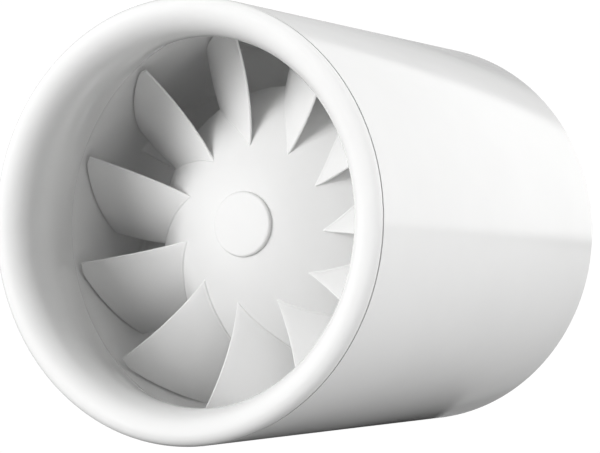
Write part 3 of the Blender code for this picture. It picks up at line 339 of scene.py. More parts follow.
def mix_colour(group, factor, first, second):
    node = group.nodes.new("ShaderNodeMix")
    node.data_type = "RGBA"
    group.links.new(factor, node.inputs["Factor"])
    group.links.new(first, node.inputs["A"])
    group.links.new(second, node.inputs["B"])
    return node.outputs["Result"]


def moulded_group():
    """Injection-moulded plastic: faint flow mottling, fine peel and slightly uneven gloss."""
    group, given, out = new_group(
        "moulded_surface",
        [("Colour", "NodeSocketColor", (0.9, 0.9, 0.9, 1)),
         ("Shade Colour", "NodeSocketColor", (0.8, 0.8, 0.8, 1)),
         ("Flow Scale", "NodeSocketFloat", 35.0), ("Peel Scale", "NodeSocketFloat", 900.0),
         ("Gloss Low", "NodeSocketFloat", 0.18), ("Gloss High", "NodeSocketFloat", 0.3)],
        [("Colour", "NodeSocketColor"), ("Roughness", "NodeSocketFloat"),
         ("Height", "NodeSocketFloat")])
    handling_scale = 70.0
    flow_height = 0.6
    place = group.nodes.new("ShaderNodeTexCoord").outputs["Object"]
    flow = noise(group, place, given.outputs["Flow Scale"], detail=4.0, rough=0.55)
    peel = noise(group, place, given.outputs["Peel Scale"], detail=2.0, rough=0.6)
    handling = noise(group, place, handling_scale, detail=5.0, rough=0.6)
    blend = remap(group, flow, 0.42, 0.72, 0.0, 1.0)
    group.links.new(
        mix_colour(group, blend, given.outputs["Colour"], given.outputs["Shade Colour"]),
        out.inputs["Colour"])
    gloss = remap(group, handling, 0.35, 0.68, given.outputs["Gloss Low"],
                  given.outputs["Gloss High"])
    group.links.new(gloss, out.inputs["Roughness"])
    swell = math_node(group, "MULTIPLY", flow, flow_height)
    group.links.new(math_node(group, "ADD", peel, swell), out.inputs["Height"])
    return group


def metal_group():
    """Turned or drawn metal: fine lines round the Y axis, stains and scattered pits."""
    group, given, out = new_group(
        "machined_metal",
        [("Colour", "NodeSocketColor", (0.6, 0.6, 0.6, 1)),
         ("Stain Colour", "NodeSocketColor", (0.4, 0.4, 0.4, 1)),
         ("Line Scale", "NodeSocketFloat", 2500.0), ("Stain Scale", "NodeSocketFloat", 180.0),
         ("Polish Low", "NodeSocketFloat", 0.22), ("Polish High", "NodeSocketFloat", 0.5)],
        [("Colour", "NodeSocketColor"), ("Roughness", "NodeSocketFloat"),
         ("Height", "NodeSocketFloat")])
    pit_scale = 1400.0
    pit_height = 0.8
    place = group.nodes.new("ShaderNodeTexCoord").outputs["Object"]
    wave = group.nodes.new("ShaderNodeTexWave")
    wave.bands_direction = "Y"
    wave.inputs["Distortion"].default_value = 1.5
    wave.inputs["Detail"].default_value = 2.0
    group.links.new(place, wave.inputs["Vector"])
    group.links.new(given.outputs["Line Scale"], wave.inputs["Scale"])
    stain = noise(group, place, given.outputs["Stain Scale"], detail=6.0, rough=0.6)
    blend = remap(group, stain, 0.45, 0.75, 0.0, 1.0)
    group.links.new(
        mix_colour(group, blend, given.outputs["Colour"], given.outputs["Stain Colour"]),
        out.inputs["Colour"])
    group.links.new(
        remap(group, stain, 0.3, 0.7, given.outputs["Polish Low"], given.outputs["Polish High"]),
        out.inputs["Roughness"])
    pits = noise(group, place, pit_scale, detail=3.0, rough=0.7)
    pits = math_node(group, "MULTIPLY", pits, pit_height)
    group.links.new(math_node(group, "ADD", wave.outputs["Fac"], pits), out.inputs["Height"])
    return group


MOULDED = moulded_group()
MACHINED = metal_group()


def material(name, group, values, bump, metallic=0.0, distance=0.1 * MM):
    """A finish from one of the groups; bump strength and depth are its own."""
    made = bpy.data.materials.new(name)
    made.use_nodes = True
    tree = made.node_tree
    shader = tree.nodes["Principled BSDF"]
    shader.inputs["Metallic"].default_value = metallic
    shader.inputs["IOR"].default_value = 1.5
    surface = tree.nodes.new("ShaderNodeGroup")
    surface.node_tree = group
    for label, value in values.items():
        surface.inputs[label].default_value = value
    tree.links.new(surface.outputs["Colour"], shader.inputs["Base Color"])
    tree.links.new(surface.outputs["Roughness"], shader.inputs["Roughness"])
    relief = tree.nodes.new("ShaderNodeBump")
    relief.inputs["Strength"].default_value = bump
    relief.inputs["Distance"].default_value = distance
    tree.links.new(surface.outputs["Height"], relief.inputs["Height"])
    tree.links.new(relief.outputs["Normal"], shader.inputs["Normal"])
    return made


def white_plastic(name, level, gloss, bump):
    return material(name, MOULDED, {
        "Colour": (level, level, level * 0.995, 1),
        "Shade Colour": (level * 0.965, level * 0.965, level * 0.96, 1),
        "Flow Scale": 18.0, "Peel Scale": 900.0,
        "Gloss Low": gloss, "Gloss High": gloss + 0.035}, bump)


def plastic(name, colour, shade, gloss, bump, peel=1500.0, distance=0.1 * MM):
    return material(name, MOULDED, {
        "Colour": (*colour, 1), "Shade Colour": (*shade, 1), "Flow Scale": 90.0,
        "Peel Scale": peel, "Gloss Low": gloss, "Gloss High": min(1.0, gloss + 0.18)},
        bump, distance=distance)


def metal(name, colour, stain, polish, lines, bump, stains=180.0):
    return material(name, MACHINED, {
        "Colour": (*colour, 1), "Stain Colour": (*stain, 1), "Line Scale": lines,
        "Stain Scale": stains, "Polish Low": polish, "Polish High": polish + 0.25},
        bump, metallic=1.0)


FINISH = {
    "casing_white": white_plastic("casing_gloss_white", 0.90, gloss=0.09, bump=0.015),
    "impeller_white": white_plastic("impeller_gloss_white", 0.88, gloss=0.28, bump=0.02),
    "nacelle_white": white_plastic("nacelle_satin_white", 0.84, gloss=0.32, bump=0.03),
    "rubber": plastic("black_rubber", (0.030, 0.030, 0.032), (0.055, 0.055, 0.055),
                      gloss=0.62, bump=0.25),
    "steel": metal("zinc_plated_steel", (0.60, 0.61, 0.60), (0.47, 0.46, 0.41),
                   polish=0.22, lines=1800, bump=0.12),
    "lamination": metal("core_laminations", (0.25, 0.26, 0.28), (0.17, 0.15, 0.14),
                        polish=0.38, lines=900, bump=0.55),
    "copper": metal("varnished_copper", (0.62, 0.27, 0.12), (0.42, 0.16, 0.07),
                    polish=0.28, lines=1300, bump=0.6),
    "die_cast": metal("die_cast_alloy", (0.58, 0.59, 0.60), (0.46, 0.46, 0.47),
                      polish=0.42, lines=500, bump=0.25, stains=400.0),
    "bronze": metal("sintered_bronze", (0.50, 0.33, 0.16), (0.33, 0.21, 0.11),
                    polish=0.5, lines=300, bump=0.3, stains=900.0),
    "felt": plastic("oiled_felt", (0.42, 0.38, 0.30), (0.30, 0.26, 0.19),
                    gloss=0.82, bump=0.9, peel=2600.0, distance=0.3 * MM),
    "nylon": plastic("natural_nylon", (0.74, 0.72, 0.64), (0.66, 0.63, 0.55),
                     gloss=0.38, bump=0.12),
    "brass": metal("machined_brass", (0.70, 0.50, 0.20), (0.52, 0.36, 0.14),
                   polish=0.25, lines=1500, bump=0.15),
    "lead_brown": plastic("brown_sleeve", (0.16, 0.06, 0.025), (0.11, 0.04, 0.02),
                          gloss=0.4, bump=0.1),
    "lead_blue": plastic("blue_sleeve", (0.025, 0.09, 0.38), (0.02, 0.06, 0.27),
                         gloss=0.4, bump=0.1),
}


# ------------------------------------------------------------------------------------------------
# Mesh helpers
# ------------------------------------------------------------------------------------------------
def spun(profile, steps, closed=True):
    """Turns (radius, y) points about the Y axis; an open profile has both ends on the axis."""
    bm = bmesh.new()
    verts = [bm.verts.new((radius, y, 0.0)) for radius, y in profile]
    edges = [bm.edges.new(pair) for pair in zip(verts, verts[1:])]
    if closed:
        edges.append(bm.edges.new((verts[-1], verts[0])))
    bmesh.ops.spin(bm, geom=verts + edges, cent=(0, 0, 0), axis=(0, 1, 0), dvec=(0, 0, 0),
                   angle=TAU, steps=steps, use_merge=True, use_duplicate=False)
    bmesh.ops.remove_doubles(bm, verts=bm.verts, dist=MERGE_DISTANCE)
    bmesh.ops.recalc_face_normals(bm, faces=bm.faces)
    return bm


def turned(profile, steps=FULL_STEPS, closed=True):
    """The same, for a profile given as (radius, station)."""
    return spun([(radius, along(station)) for radius, station in profile], steps, closed)


def rounded(points, radius, closed=True):
    """Rounds every corner of a profile by an arc-like curve reaching `radius` along each side."""
    result = []
    count = len(points)
    for i, here in enumerate(points):
        here = Vector(here)
        if not closed and i in (0, count - 1):
            result.append(tuple(here))
            continue
        before = Vector(points[i - 1]) - here
        after = Vector(points[(i + 1) % count]) - here
        reach = min(radius, before.length * CORNER_SHARE, after.length * CORNER_SHARE)
        if before.angle(after, math.pi) > FLAT_CORNER:
            result.append(tuple(here))
            continue
        start = here + before.normalized() * reach
        end = here + after.normalized() * reach
        for k in range(CORNER_CELLS + 1):
            t = k / CORNER_CELLS
            point = start * (1 - t) ** 2 + here * 2 * t * (1 - t) + end * t ** 2
            result.append(tuple(point))
    return result


def arc(centre, radii, start, end, count):
    """Points on an ellipse's arc between two angles in degrees."""
    points = []
    for i in range(count + 1):
        angle = math.radians(start + (end - start) * i / count)
        points.append((centre[0] + radii[0] * math.cos(angle),
                       centre[1] + radii[1] * math.sin(angle)))
    return points


def merged(shapes):
    """Joins several closed shapes into one mesh."""
    whole = bmesh.new()
    for bm in shapes:
        mesh = bpy.data.meshes.new("shape")
        bm.to_mesh(mesh)
        bm.free()
        whole.from_mesh(mesh)
        bpy.data.meshes.remove(mesh)
    return whole


def ring_of(bm, count):
    """Copies of a shape, evenly spaced round the fan's axis."""
    shapes = []
    for i in range(count):
        copy = bm.copy()
        bmesh.ops.rotate(copy, cent=(0, 0, 0), verts=copy.verts,
                         matrix=Matrix.Rotation(TAU * i / count, 3, "Y"))
        shapes.append(copy)
    bm.free()
    return shapes


def plain_object(bm, name):
    """Puts a shape in the scene as an object, and frees the shape."""
    mesh = bpy.data.meshes.new(name)
    bm.to_mesh(mesh)
    bm.free()
    obj = bpy.data.objects.new(name, mesh)
    bpy.context.scene.collection.objects.link(obj)
    return obj


def finish_piece(bm, name, slot, body, node):
    """Makes the object, gives it its finish, and lets it stand for the named CAD node."""
    obj = plain_object(bm, name)
    for polygon in obj.data.polygons:
        polygon.use_smooth = True
    obj.data.set_sharp_from_angle(angle=SMOOTH_ANGLE)
    obj.data.materials.append(FINISH[slot])
    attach(obj, body)
    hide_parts(node)
    return obj


def cut(obj, cutter):
    """Takes a helper shape away from an object, then drops the helper."""
    helper = plain_object(cutter, "cutter")
    modifier = obj.modifiers.new("cut", "BOOLEAN")
    modifier.operation = "DIFFERENCE"
    modifier.solver = "EXACT"
    modifier.object = helper
    graph = bpy.context.evaluated_depsgraph_get()
    result = bpy.data.meshes.new_from_object(obj.evaluated_get(graph))
    obj.modifiers.remove(modifier)
    old = obj.data
    obj.data = result
    bpy.data.meshes.remove(old)
    mesh = helper.data
    bpy.data.objects.remove(helper, do_unlink=True)
    bpy.data.meshes.remove(mesh)


# ------------------------------------------------------------------------------------------------
# Casing, intake ring, retaining ring
# ------------------------------------------------------------------------------------------------
def aim_at_gland(bm, aside=0.0):
    """Turns a shape from the Y axis to -X and takes it to the gland's station."""
    bmesh.ops.rotate(bm, cent=(0, 0, 0), verts=bm.verts,
                     matrix=Matrix.Rotation(math.pi / 2, 3, "Z"))
    bmesh.ops.translate(bm, vec=(aside, along(GLAND_STATION), 0), verts=bm.verts)


def build_casing():
    """Plain tube with softened edges and the gland's hole through its wall."""
    front = SEAM + SEAM_GAP
    profile = rounded([(TUBE_RADIUS, front), (TUBE_RADIUS, LENGTH), (TUBE_BORE, LENGTH),
                       (TUBE_BORE, front)], CASING_EDGE)
    casing = finish_piece(turned(profile), "casing_shell", "casing_white", "housing",
                          "casing_tube")
    hole = spun([(0, 0), (GLAND_HOLE_RADIUS, 0), (GLAND_HOLE_RADIUS, GLAND_HOLE_LENGTH),
                 (0, GLAND_HOLE_LENGTH)], HOLE_STEPS, closed=False)
    aim_at_gland(hole, GLAND_HOLE_INSET - TUBE_BORE)
    cut(casing, hole)


def widened(share):
    """How far the ring has widened: level at the throat, then turning into a straight cone."""
    return (math.hypot(share, FLARE_BLEND) - FLARE_BLEND) / (
        math.hypot(1, FLARE_BLEND) - FLARE_BLEND)


def build_intake_ring():
    """Bell-shaped lip that narrows to the throat and widens again to the blade tips."""
    spigot = TUBE_BORE - GAP
    lip_back = SEAM - LIP_STEP
    profile = [(TUBE_RADIUS - LIP_EDGE, SEAM)]
    profile += arc((LIP_RADIUS, lip_back), (TUBE_RADIUS - LIP_RADIUS, -lip_back), 0, 90,
                   LIP_CELLS)
    profile += arc((LIP_RADIUS, THROAT), (THROAT_RADIUS - LIP_RADIUS, -THROAT), 90, 0,
                   BELL_CELLS)[1:]
    for i in range(1, WIDENING_CELLS + 1):
        share = i / WIDENING_CELLS
        profile.append((THROAT_RADIUS + (VANE_RING_BORE - THROAT_RADIUS) * widened(share),
                        THROAT + (SPIGOT_END - THROAT) * share))
    profile += [(spigot, SPIGOT_END), (spigot, SEAM)]
    finish_piece(turned(profile), "intake_ring_moulding", "casing_white", "housing",
                 "intake_ring")


def build_retaining_ring():
    """Thin collar with a thicker foot against the guide vane ring."""
    outer = TUBE_BORE - GAP
    profile = rounded([
        (outer, RETAINER_FRONT), (outer, RETAINER_BACK), (outer - RETAINER_WALL, RETAINER_BACK),
        (outer - RETAINER_WALL, RETAINER_FRONT + RETAINER_FOOT),
        (outer - RETAINER_FOOT, RETAINER_FRONT)], RETAINER_ROUND)
    finish_piece(turned(profile), "retaining_ring_moulding", "nacelle_white", "housing",
                 "retaining_ring")


# ------------------------------------------------------------------------------------------------
# Blades and vanes
# ------------------------------------------------------------------------------------------------
def dome(radius):
    """Station of the hub's outside at a radius."""
    return NOSE + HUB_DEPTH * (radius / HUB_RIM_RADIUS) ** HUB_ROUNDNESS


def blade_root(chord):
    """Root line, on the hub's outside."""
    radius = BLADE_ROOT_RADIUS + (BLADE_ROOT_END - BLADE_ROOT_RADIUS) * chord
    return Vector((radius, dome(radius)))


def blade_tip(chord):
    """Tip line, with its leading corner rounded off."""
    drop = 0.0
    if chord < TIP_ROUND_CHORD:
        drop = TIP_ROUND * (1 - math.sqrt(max(0.0, 1 - (1 - chord / TIP_ROUND_CHORD) ** 2)))
    return Vector((BLADE_TIP_RADIUS - drop, TIP_LEAD + (TIP_TRAIL - TIP_LEAD) * chord))


def blade_point(chord, span):
    """Mid-surface of a blade; chord runs from leading to trailing edge, span from hub to tip."""
    inside = min(1.0, max(0.0, chord))
    point = blade_root(inside).lerp(blade_tip(inside), span)
    bow = 4 * span * (1 - span) if span > 0 else 0.0
    station = point.y + LEAD_BOW * bow * (1 - inside)
    turn = inside + BLADE_CAMBER * inside * (1 - inside)
    wrap = math.radians(ROOT_WRAP + (TIP_WRAP - ROOT_WRAP) * max(0.0, span))
    return polar(point.x, BLADE_PHASE - wrap * turn, station)


def vane_point(chord, span):
    """Mid-surface of a guide vane, from the nacelle out to the vane ring."""
    inside = min(1.0, max(0.0, chord))
    radius = NACELLE_RADIUS + (VANE_RING_BORE - NACELLE_RADIUS) * span
    station = VANE_FRONT + (VANE_BACK - VANE_FRONT) * inside
    turn = 1 - (1 - inside) ** VANE_CURVE
    return polar(radius, VANE_PHASE + VANE_WRAP * turn, station)


def section():
    """Outline of a blade section as (chord, across, beyond): flat sides and round edges."""
    points = []
    for start, end, side in ((SECTION_LEAD, SECTION_TRAIL, 1.0),
                             (SECTION_TRAIL, SECTION_LEAD, -1.0)):
        for i in range(SECTION_SIDE_CELLS + 1):
            points.append((start + (end - start) * i / SECTION_SIDE_CELLS, side, 0.0))
        for i in range(1, SECTION_END_CELLS):
            angle = math.pi * i / SECTION_END_CELLS
            points.append((end, side * math.cos(angle), side * math.sin(angle)))
    return points


def fillet_growth(height, radius):
    """Extra half thickness of a fillet at a height over the surface that it grows from."""
    if height >= radius:
        return 0.0
    rise = radius - max(0.0, height)
    return radius - math.sqrt(max(0.0, radius ** 2 - rise ** 2))


def lofted_blade(point_at, spans, halves, fillet, far_fillet=False):
    """Closed blade: a grid wrapped round the section at each span, with fillets at its root.

    The halves are half its thickness at the leading edge, near the middle and at the trailing
    edge; far_fillet adds fillets at its tip as well.
    """
    outline = section()
    lead_half, middle_half, trail_half = halves
    around, rows = len(outline), len(spans)
    bm = bmesh.new()
    bmesh.ops.create_grid(bm, x_segments=around, y_segments=rows - 1, size=0.5)
    for vert in bm.verts:
        chord, across, beyond = outline[round((vert.co.x + 0.5) * around) % around]
        span = spans[round((vert.co.y + 0.5) * (rows - 1))]
        middle = point_at(chord, span)
        ahead, after = min(1.0, chord + SLOPE_STEP), max(0.0, chord - SLOPE_STEP)
        flow = point_at(ahead, span) - point_at(after, span)
        rise = point_at(chord, span + SLOPE_STEP) - point_at(chord, span - SLOPE_STEP)
        normal = flow.cross(rise).normalized()
        flow.normalize()
        length = (point_at(chord, 1.0) - point_at(chord, 0.0)).length
        half = lead_half + (trail_half - lead_half) * chord
        half += (middle_half - lead_half) * 4 * chord * (1 - chord)
        half += fillet_growth(span * length, fillet)
        if far_fillet:
            half += fillet_growth((1 - span) * length, fillet)
        vert.co = middle + normal * across * half + flow * beyond * half
    bmesh.ops.remove_doubles(bm, verts=bm.verts, dist=MERGE_DISTANCE / 2)
    rims = [edge for edge in bm.edges if edge.is_boundary]
    bmesh.ops.holes_fill(bm, edges=rims, sides=0)
    caps = [face for face in bm.faces if len(face.verts) > 4]
    bmesh.ops.triangulate(bm, faces=caps)
    bmesh.ops.recalc_face_normals(bm, faces=bm.faces)
    return bm


def build_impeller():
    """Domed hub with a well for the nut, a boss for the shaft, and the blades round it."""
    rim = dome(HUB_RIM_RADIUS)
    outside = [(NUT_WELL, dome(NUT_WELL) + WELL_EDGE), (NUT_WELL + WELL_EDGE, dome(NUT_WELL))]
    for i in range(1, HUB_CELLS):
        radius = NUT_WELL + (HUB_RIM_RADIUS - NUT_WELL) * i / HUB_CELLS
        outside.append((radius, dome(radius)))
    outside += [(HUB_RIM_RADIUS - HUB_EDGE_DROP, rim - HUB_EDGE_FRONT), (HUB_RIM_RADIUS, rim),
                (HUB_RIM_RADIUS - HUB_EDGE_TURN, rim + HUB_EDGE)]
    inside = [(HUB_RIM_RADIUS - HUB_RIM_WALL, rim + HUB_EDGE)]
    inside += [(radius, dome(radius) + HUB_UNDERSIDE) for radius in HUB_INSIDE_RADII]
    core = rounded([
        (WELL_OUTSIDE, dome(WELL_OUTSIDE) + WELL_JOIN), (WELL_OUTSIDE, NUT_SEAT + WELL_FLOOR),
        (BOSS_NECK, NUT_SEAT + BOSS_SHOULDER), (BOSS_RADIUS, BOSS_BACK), (BOSS_BORE, BOSS_BACK),
        (BOSS_BORE, NUT_SEAT), (NUT_WELL, NUT_SEAT)], BOSS_ROUND, closed=False)
    hub = turned(outside + inside + core)
    blade = lofted_blade(blade_point, BLADE_SPANS, BLADE_HALVES, BLADE_FILLET)
    finish_piece(merged([hub] + ring_of(blade, BLADES)), "impeller_moulding", "impeller_white",
                 "rotor", "impeller")


def build_nose_cap():
    """Slightly crowned disc with a skirt that plugs the nut's well."""
    face = NOSE - CAP_RISE
    edge = face + CAP_CROWN
    seat = dome(CAP_RADIUS) - CAP_SEAT
    skirt = NUT_WELL - GAP
    crown = CAP_RADIUS - CAP_ROUND
    profile = [(0.0, face)]
    for i in range(1, CAP_CELLS + 1):
        t = i / CAP_CELLS
        profile.append((crown * t, face + CAP_CROWN * t ** CAP_CROWN_CURVE))
    profile += arc((crown, edge + CAP_ROUND), (CAP_ROUND, -CAP_ROUND), 80, 0, 7)
    profile += [(CAP_RADIUS, seat), (skirt, seat - CAP_SEAT), (skirt, seat + CAP_SKIRT),
                (skirt - CAP_SKIRT_WALL, seat + CAP_SKIRT),
                (skirt - CAP_SKIRT_WALL, face + CAP_WALL + CAP_DISH), (0.0, face + CAP_WALL)]
    finish_piece(turned(profile, PART_STEPS, closed=False), "nose_cap_moulding",
                 "impeller_white", "rotor", "nose_cap")


def tail_lug(angle):
    """Block inside the nacelle that takes a tail screw."""
    lug = bmesh.new()
    bmesh.ops.create_cube(lug, size=1.0)
    bmesh.ops.scale(lug, vec=LUG_SIZE, verts=lug.verts)
    bmesh.ops.bevel(lug, geom=lug.edges[:], offset=LUG_ROUND, segments=2, affect="EDGES",
                    profile=0.5, material=-1)
    bmesh.ops.translate(lug, vec=(0, along(LUG_STATION), LUG_RADIUS), verts=lug.verts)
    bmesh.ops.rotate(lug, cent=(0, 0, 0), verts=lug.verts,
                     matrix=Matrix.Rotation(angle, 3, "Y"))
    return lug


def build_vane_unit():
    """Outer ring, motor housing and the vanes between them, with the tail cone's lugs."""
    outer = TUBE_BORE - GAP
    ring = turned(rounded([
        (outer, VANE_RING_FRONT), (outer, VANE_RING_BACK),
        (VANE_RING_BORE, VANE_RING_BACK), (VANE_RING_BORE, VANE_RING_FRONT)], VANE_RING_ROUND))
    inner = NACELLE_RADIUS - NACELLE_WALL
    shell = [(NACELLE_EYE, NACELLE_FRONT)]
    shell += arc((NACELLE_RADIUS - NACELLE_CORNER, NACELLE_FRONT + NACELLE_CORNER),
                 (NACELLE_CORNER, -NACELLE_CORNER), 90, 0, 10)
    shell += rounded([
        (NACELLE_RADIUS, NACELLE_FRONT + NACELLE_SHOULDER), (NACELLE_RADIUS, NACELLE_BACK),
        (inner, NACELLE_BACK), (inner, NACELLE_FRONT + NACELLE_WALL),
        (NACELLE_EYE, NACELLE_FRONT + NACELLE_WALL)], NACELLE_ROUND, closed=False)
    vane = lofted_blade(vane_point, VANE_SPANS, VANE_HALVES, VANE_FILLET, far_fillet=True)
    shapes = [ring, turned(shell)] + ring_of(vane, VANES)
    shapes += [tail_lug(angle) for angle in TAIL_SCREW_ANGLES]
    finish_piece(merged(shapes), "guide_vane_moulding", "nacelle_white", "housing",
                 "guide_vane_unit")


# ------------------------------------------------------------------------------------------------
# Tail cone
# ------------------------------------------------------------------------------------------------
def tail_outline(tip, wide, count):
    """Blunt nose from its widest radius to near its tip, with points crowded where it is steep."""
    front = NACELLE_BACK + GAP
    points = []
    for i in range(count):
        t = 1 - (1 - i / count) ** TAIL_CROWDING
        points.append((wide * math.sqrt(max(0.0, 1 - t ** TAIL_ROUNDNESS)),
                       front + (tip - front) * t))
    return points


def tail_pin(radius, front, back, angle):
    """Rod along the axis through one of the tail screws' places."""
    bm = spun([(0, along(front)), (radius, along(front)), (radius, along(back)),
               (0, along(back))], SMALL_STEPS, closed=False)
    aside = TAIL_SCREW_CIRCLE * math.sin(angle)
    up = TAIL_SCREW_CIRCLE * math.cos(angle)
    bmesh.ops.translate(bm, vec=(aside, 0, up), verts=bm.verts)
    return bm


def tail_space():
    """Hollow of the tail cone, less the bosses that its screws pass through."""
    wide = NACELLE_RADIUS - NACELLE_WALL - GAP - TAIL_WALL
    front = TAIL_FRONT - OVERCUT
    tip = TAIL_TIP - TAIL_WALL
    profile = [(0.0, front), (wide, front)] + tail_outline(tip, wide, TAIL_HOLLOW_CELLS)
    profile += [(0.0, tip)]
    hollow = turned(profile, HOLLOW_STEPS, closed=False)
    for face in hollow.faces:
        face.smooth = True
    helper = plain_object(hollow, "tail_space")
    for angle in TAIL_SCREW_ANGLES:
        cut(helper, tail_pin(TAIL_BOSS, front - OVERCUT, TAIL_TIP + OVERCUT, angle))
    space = bmesh.new()
    space.from_mesh(helper.data)
    bpy.data.objects.remove(helper, do_unlink=True)
    return space


def build_tail_cone():
    """Hollow cone with a spigot in the nacelle and a sunk seat for each screw."""
    spigot = NACELLE_RADIUS - NACELLE_WALL - GAP
    profile = [(0.0, TAIL_FRONT), (spigot, TAIL_FRONT), (spigot, NACELLE_BACK + GAP)]
    profile += tail_outline(TAIL_TIP, NACELLE_RADIUS, TAIL_CELLS)
    profile += [(0.0, TAIL_TIP)]
    cone = finish_piece(turned(profile, PART_STEPS, closed=False), "tail_cone_moulding",
                        "nacelle_white", "housing", "tail_cone")
    cut(cone, tail_space())
    for angle in TAIL_SCREW_ANGLES:
        cut(cone, tail_pin(SCREW_SHANK + GAP, TAIL_HOLE_FRONT, TAIL_TIP, angle))
        cut(cone, tail_pin(SCREW_HEAD + GAP, TAIL_SCREW_SEAT, TAIL_TIP, angle))
    cone.data.set_sharp_from_angle(angle=SMOOTH_ANGLE)


# ------------------------------------------------------------------------------------------------
# Screws and gland
# ------------------------------------------------------------------------------------------------
def screw_shape(head, height, shank, length):
    """Pan head screw along +Y with its head's underside at y = 0, thread rolled as fine ridges."""
    flat, side = head * HEAD_FLAT, height * HEAD_SIDE
    profile = [(0.0, -height), (flat, -height)]
    profile += arc((flat, -side), (head - flat, side - height), 80, 0, 6)
    profile += [(head, -HEAD_EDGE), (head - HEAD_EDGE, 0.0), (shank, 0.0)]
    turns = int((length - THREAD_TIP - THREAD_RUNOUT) / THREAD_PITCH)
    for i in range(turns):
        base = THREAD_START + i * THREAD_PITCH
        profile += [(shank * THREAD_CORE, base), (shank, base + THREAD_PITCH / 2)]
    profile += [(shank * THREAD_CORE, length - THREAD_TIP), (shank * THREAD_POINT, length),
                (0.0, length)]
    return spun(profile, SMALL_STEPS, closed=False)


def cross_cutter(head, height):
    """Two crossed bars that cut the driver's recess into a screw head."""
    size = (head * CROSS_LENGTH, height * CROSS_DEPTH, head * CROSS_WIDTH)
    shapes = []
    for turn in (0.0, math.pi / 2):
        arm = bmesh.new()
        bmesh.ops.create_cube(arm, size=1.0)
        bmesh.ops.scale(arm, vec=size, verts=arm.verts)
        bmesh.ops.translate(arm, vec=(0, -height, 0), verts=arm.verts)
        bmesh.ops.rotate(arm, cent=(0, 0, 0), verts=arm.verts,
                         matrix=Matrix.Rotation(turn, 3, "Y"))
        shapes.append(arm)
    return shapes


def build_tail_screws():
    """Screws from behind, with their heads down in the tail cone's seats."""
    for i, angle in enumerate(TAIL_SCREW_ANGLES):
        place = polar(TAIL_SCREW_CIRCLE, angle, TAIL_SCREW_SEAT + GAP)
        matrix = Matrix.Translation(place) @ Matrix.Rotation(math.pi, 4, "X")
        screw = screw_shape(SCREW_HEAD, SCREW_HEAD_HEIGHT, SCREW_SHANK, SCREW_LENGTH)
        bmesh.ops.transform(screw, matrix=matrix, verts=screw.verts)
        obj = finish_piece(screw, f"tail_screw_head_{i + 1}", "steel", "housing",
                           f"tail_screw_{i + 1}")
        for arm in cross_cutter(SCREW_HEAD, SCREW_HEAD_HEIGHT):
            bmesh.ops.transform(arm, matrix=matrix, verts=arm.verts)
            cut(obj, arm)


def build_gland():
    """Rubber bush with a flange on both sides of the casing wall."""
    wall_in = TUBE_BORE - GAP - GLAND_SEAT
    wall_out = TUBE_RADIUS + GAP
    inner_end = wall_in - GLAND_FLANGE_HEIGHT
    outer_end = wall_out + GLAND_FLANGE_HEIGHT
    profile = rounded([
        (GLAND_FLANGE, inner_end), (GLAND_FLANGE, wall_in), (GLAND_NECK, wall_in),
        (GLAND_NECK, wall_out), (GLAND_FLANGE, wall_out),
        (GLAND_FLANGE - GLAND_TAPER, outer_end), (GLAND_BORE, outer_end),
        (GLAND_BORE, inner_end)], GLAND_ROUND)
    gland = spun(profile, GLAND_STEPS)
    aim_at_gland(gland)
    finish_piece(gland, "rubber_cable_gland", "rubber", "housing", "cable_gland")


# ------------------------------------------------------------------------------------------------
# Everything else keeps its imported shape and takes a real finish
# ------------------------------------------------------------------------------------------------
def dress_packed_nodes():
    """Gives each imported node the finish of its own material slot."""
    slots = {entry["node"]: entry["material_slot"] for entry in frame["record"]["subparts"]}
    for name, obj in frame["nodes"].items():
        if name in slots:
            obj.data.materials.clear()
            obj.data.materials.append(FINISH[slots[name]])


# ------------------------------------------------------------------------------------------------
# Stage
# ------------------------------------------------------------------------------------------------
def build_camera():
    """Camera ahead of the intake and to its right, a little below the axis."""
    back = Vector((math.sin(CAMERA_TURN) * math.cos(CAMERA_RISE),
                   -math.cos(CAMERA_TURN) * math.cos(CAMERA_RISE), math.sin(CAMERA_RISE)))
    right = Vector((math.cos(CAMERA_TURN), math.sin(CAMERA_TURN), 0.0))
    up = back.cross(right)
    aim = Vector((0, along(SEAM) - AIM_AHEAD, 0))
    place = aim + back * CAMERA_DISTANCE + right * CAMERA_ASIDE + up * CAMERA_LIFT
    turn = Matrix((
        right * math.cos(CAMERA_ROLL) + up * math.sin(CAMERA_ROLL),
        up * math.cos(CAMERA_ROLL) - right * math.sin(CAMERA_ROLL), back)).transposed()
    data = bpy.data.cameras.new("camera")
    data.sensor_width = SENSOR
    data.lens = LENS
    data.clip_start = CLIP_START
    camera = bpy.data.objects.new("camera", data)
    camera.matrix_world = Matrix.Translation(place) @ turn.to_4x4()
    bpy.context.scene.collection.objects.link(camera)
    bpy.context.scene.camera = camera


def build_lights():
    """Soft lights that the gloss doesn't mirror, so that it mirrors only the even room."""
    for name, place, target, size, power in SOFTBOXES:
        data = bpy.data.lights.new(name, "AREA")
        data.shape = "RECTANGLE"
        data.size, data.size_y = size
        data.energy = power
        light = bpy.data.objects.new(name, data)
        direction = Vector(target) - Vector(place)
        light.rotation_euler = direction.to_track_quat("-Z", "Y").to_euler()
        light.location = place
        light.visible_glossy = False
        bpy.context.scene.collection.objects.link(light)


def white_to_camera(tree, kind, lit, output):
    """Shows an even white to the camera, and the lit shader to every other ray."""
    white = tree.nodes.new(kind)
    white.inputs["Color"].default_value = (1, 1, 1, 1)
    white.inputs["Strength"].default_value = BACKGROUND_GLOW
    rays = tree.nodes.new("ShaderNodeLightPath")
    mix = tree.nodes.new("ShaderNodeMixShader")
    tree.links.new(rays.outputs["Is Camera Ray"], mix.inputs["Fac"])
    tree.links.new(lit.outputs[0], mix.inputs[1])
    tree.links.new(white.outputs[0], mix.inputs[2])
    tree.links.new(mix.outputs[0], tree.nodes[output].inputs["Surface"])


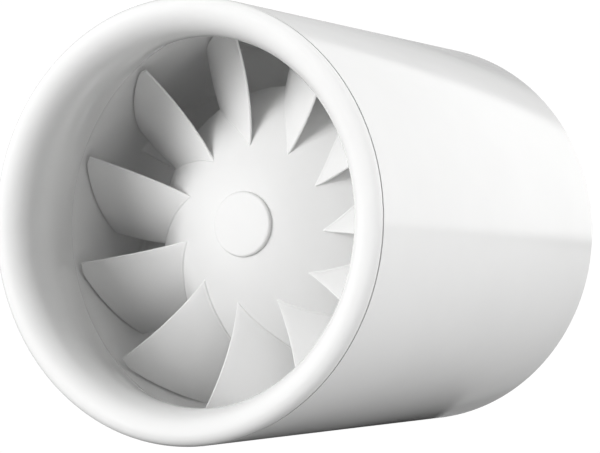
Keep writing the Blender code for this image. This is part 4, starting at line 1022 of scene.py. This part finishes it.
def build_floor():
    """Pale level floor just under the casing; it looks white and reflects as a calm grey."""
    bm = bmesh.new()
    bmesh.ops.create_grid(bm, x_segments=1, y_segments=1, size=FLOOR_HALF_SIDE)
    bmesh.ops.translate(bm, vec=(0, 0, -TUBE_RADIUS - FLOOR_GAP), verts=bm.verts)
    floor = plain_object(bm, "floor")
    pale = bpy.data.materials.new("pale_floor")
    pale.use_nodes = True
    shader = pale.node_tree.nodes["Principled BSDF"]
    shader.inputs["Base Color"].default_value = (FLOOR_GREY, FLOOR_GREY, FLOOR_GREY, 1)
    shader.inputs["Roughness"].default_value = 0.9
    white_to_camera(pale.node_tree, "ShaderNodeEmission", shader, "Material Output")
    floor.data.materials.append(pale)


def build_world():
    """White to the camera; to the fan, a bright room above the horizon and a dim one below it."""
    world = bpy.data.worlds.new("studio")
    world.use_nodes = True
    bpy.context.scene.world = world
    tree = world.node_tree
    room = tree.nodes["Background"]
    place = tree.nodes.new("ShaderNodeTexCoord")
    parts = tree.nodes.new("ShaderNodeSeparateXYZ")
    tree.links.new(place.outputs["Generated"], parts.inputs[0])
    x, y, z = parts.outputs
    across = math_node(tree, "MULTIPLY_ADD", z, PANEL_LEAN, x)
    behind = remap(tree, across, -PANEL_EDGE, PANEL_EDGE, SIDE_GLOW, PANEL_GLOW)
    ahead = remap(tree, x, -ROOM_BLEND, ROOM_BLEND, FRONT_LEFT_GLOW, FRONT_RIGHT_GLOW)
    above = remap(tree, y, 0.0, ROOM_BLEND, ahead, behind)
    tree.links.new(remap(tree, z, -HORIZON_BLEND, HORIZON_BLEND, FLOOR_GLOW, above),
                   room.inputs["Strength"])
    room.inputs["Color"].default_value = (1, 1, 1, 1)
    white_to_camera(tree, "ShaderNodeBackground", room, "World Output")


build_casing()
build_intake_ring()
build_retaining_ring()
build_impeller()
build_nose_cap()
build_vane_unit()
build_tail_cone()
build_tail_screws()
build_gland()
dress_packed_nodes()
build_floor()
build_world()
build_lights()
build_camera()
bpy.context.scene.view_settings.view_transform = "Standard"
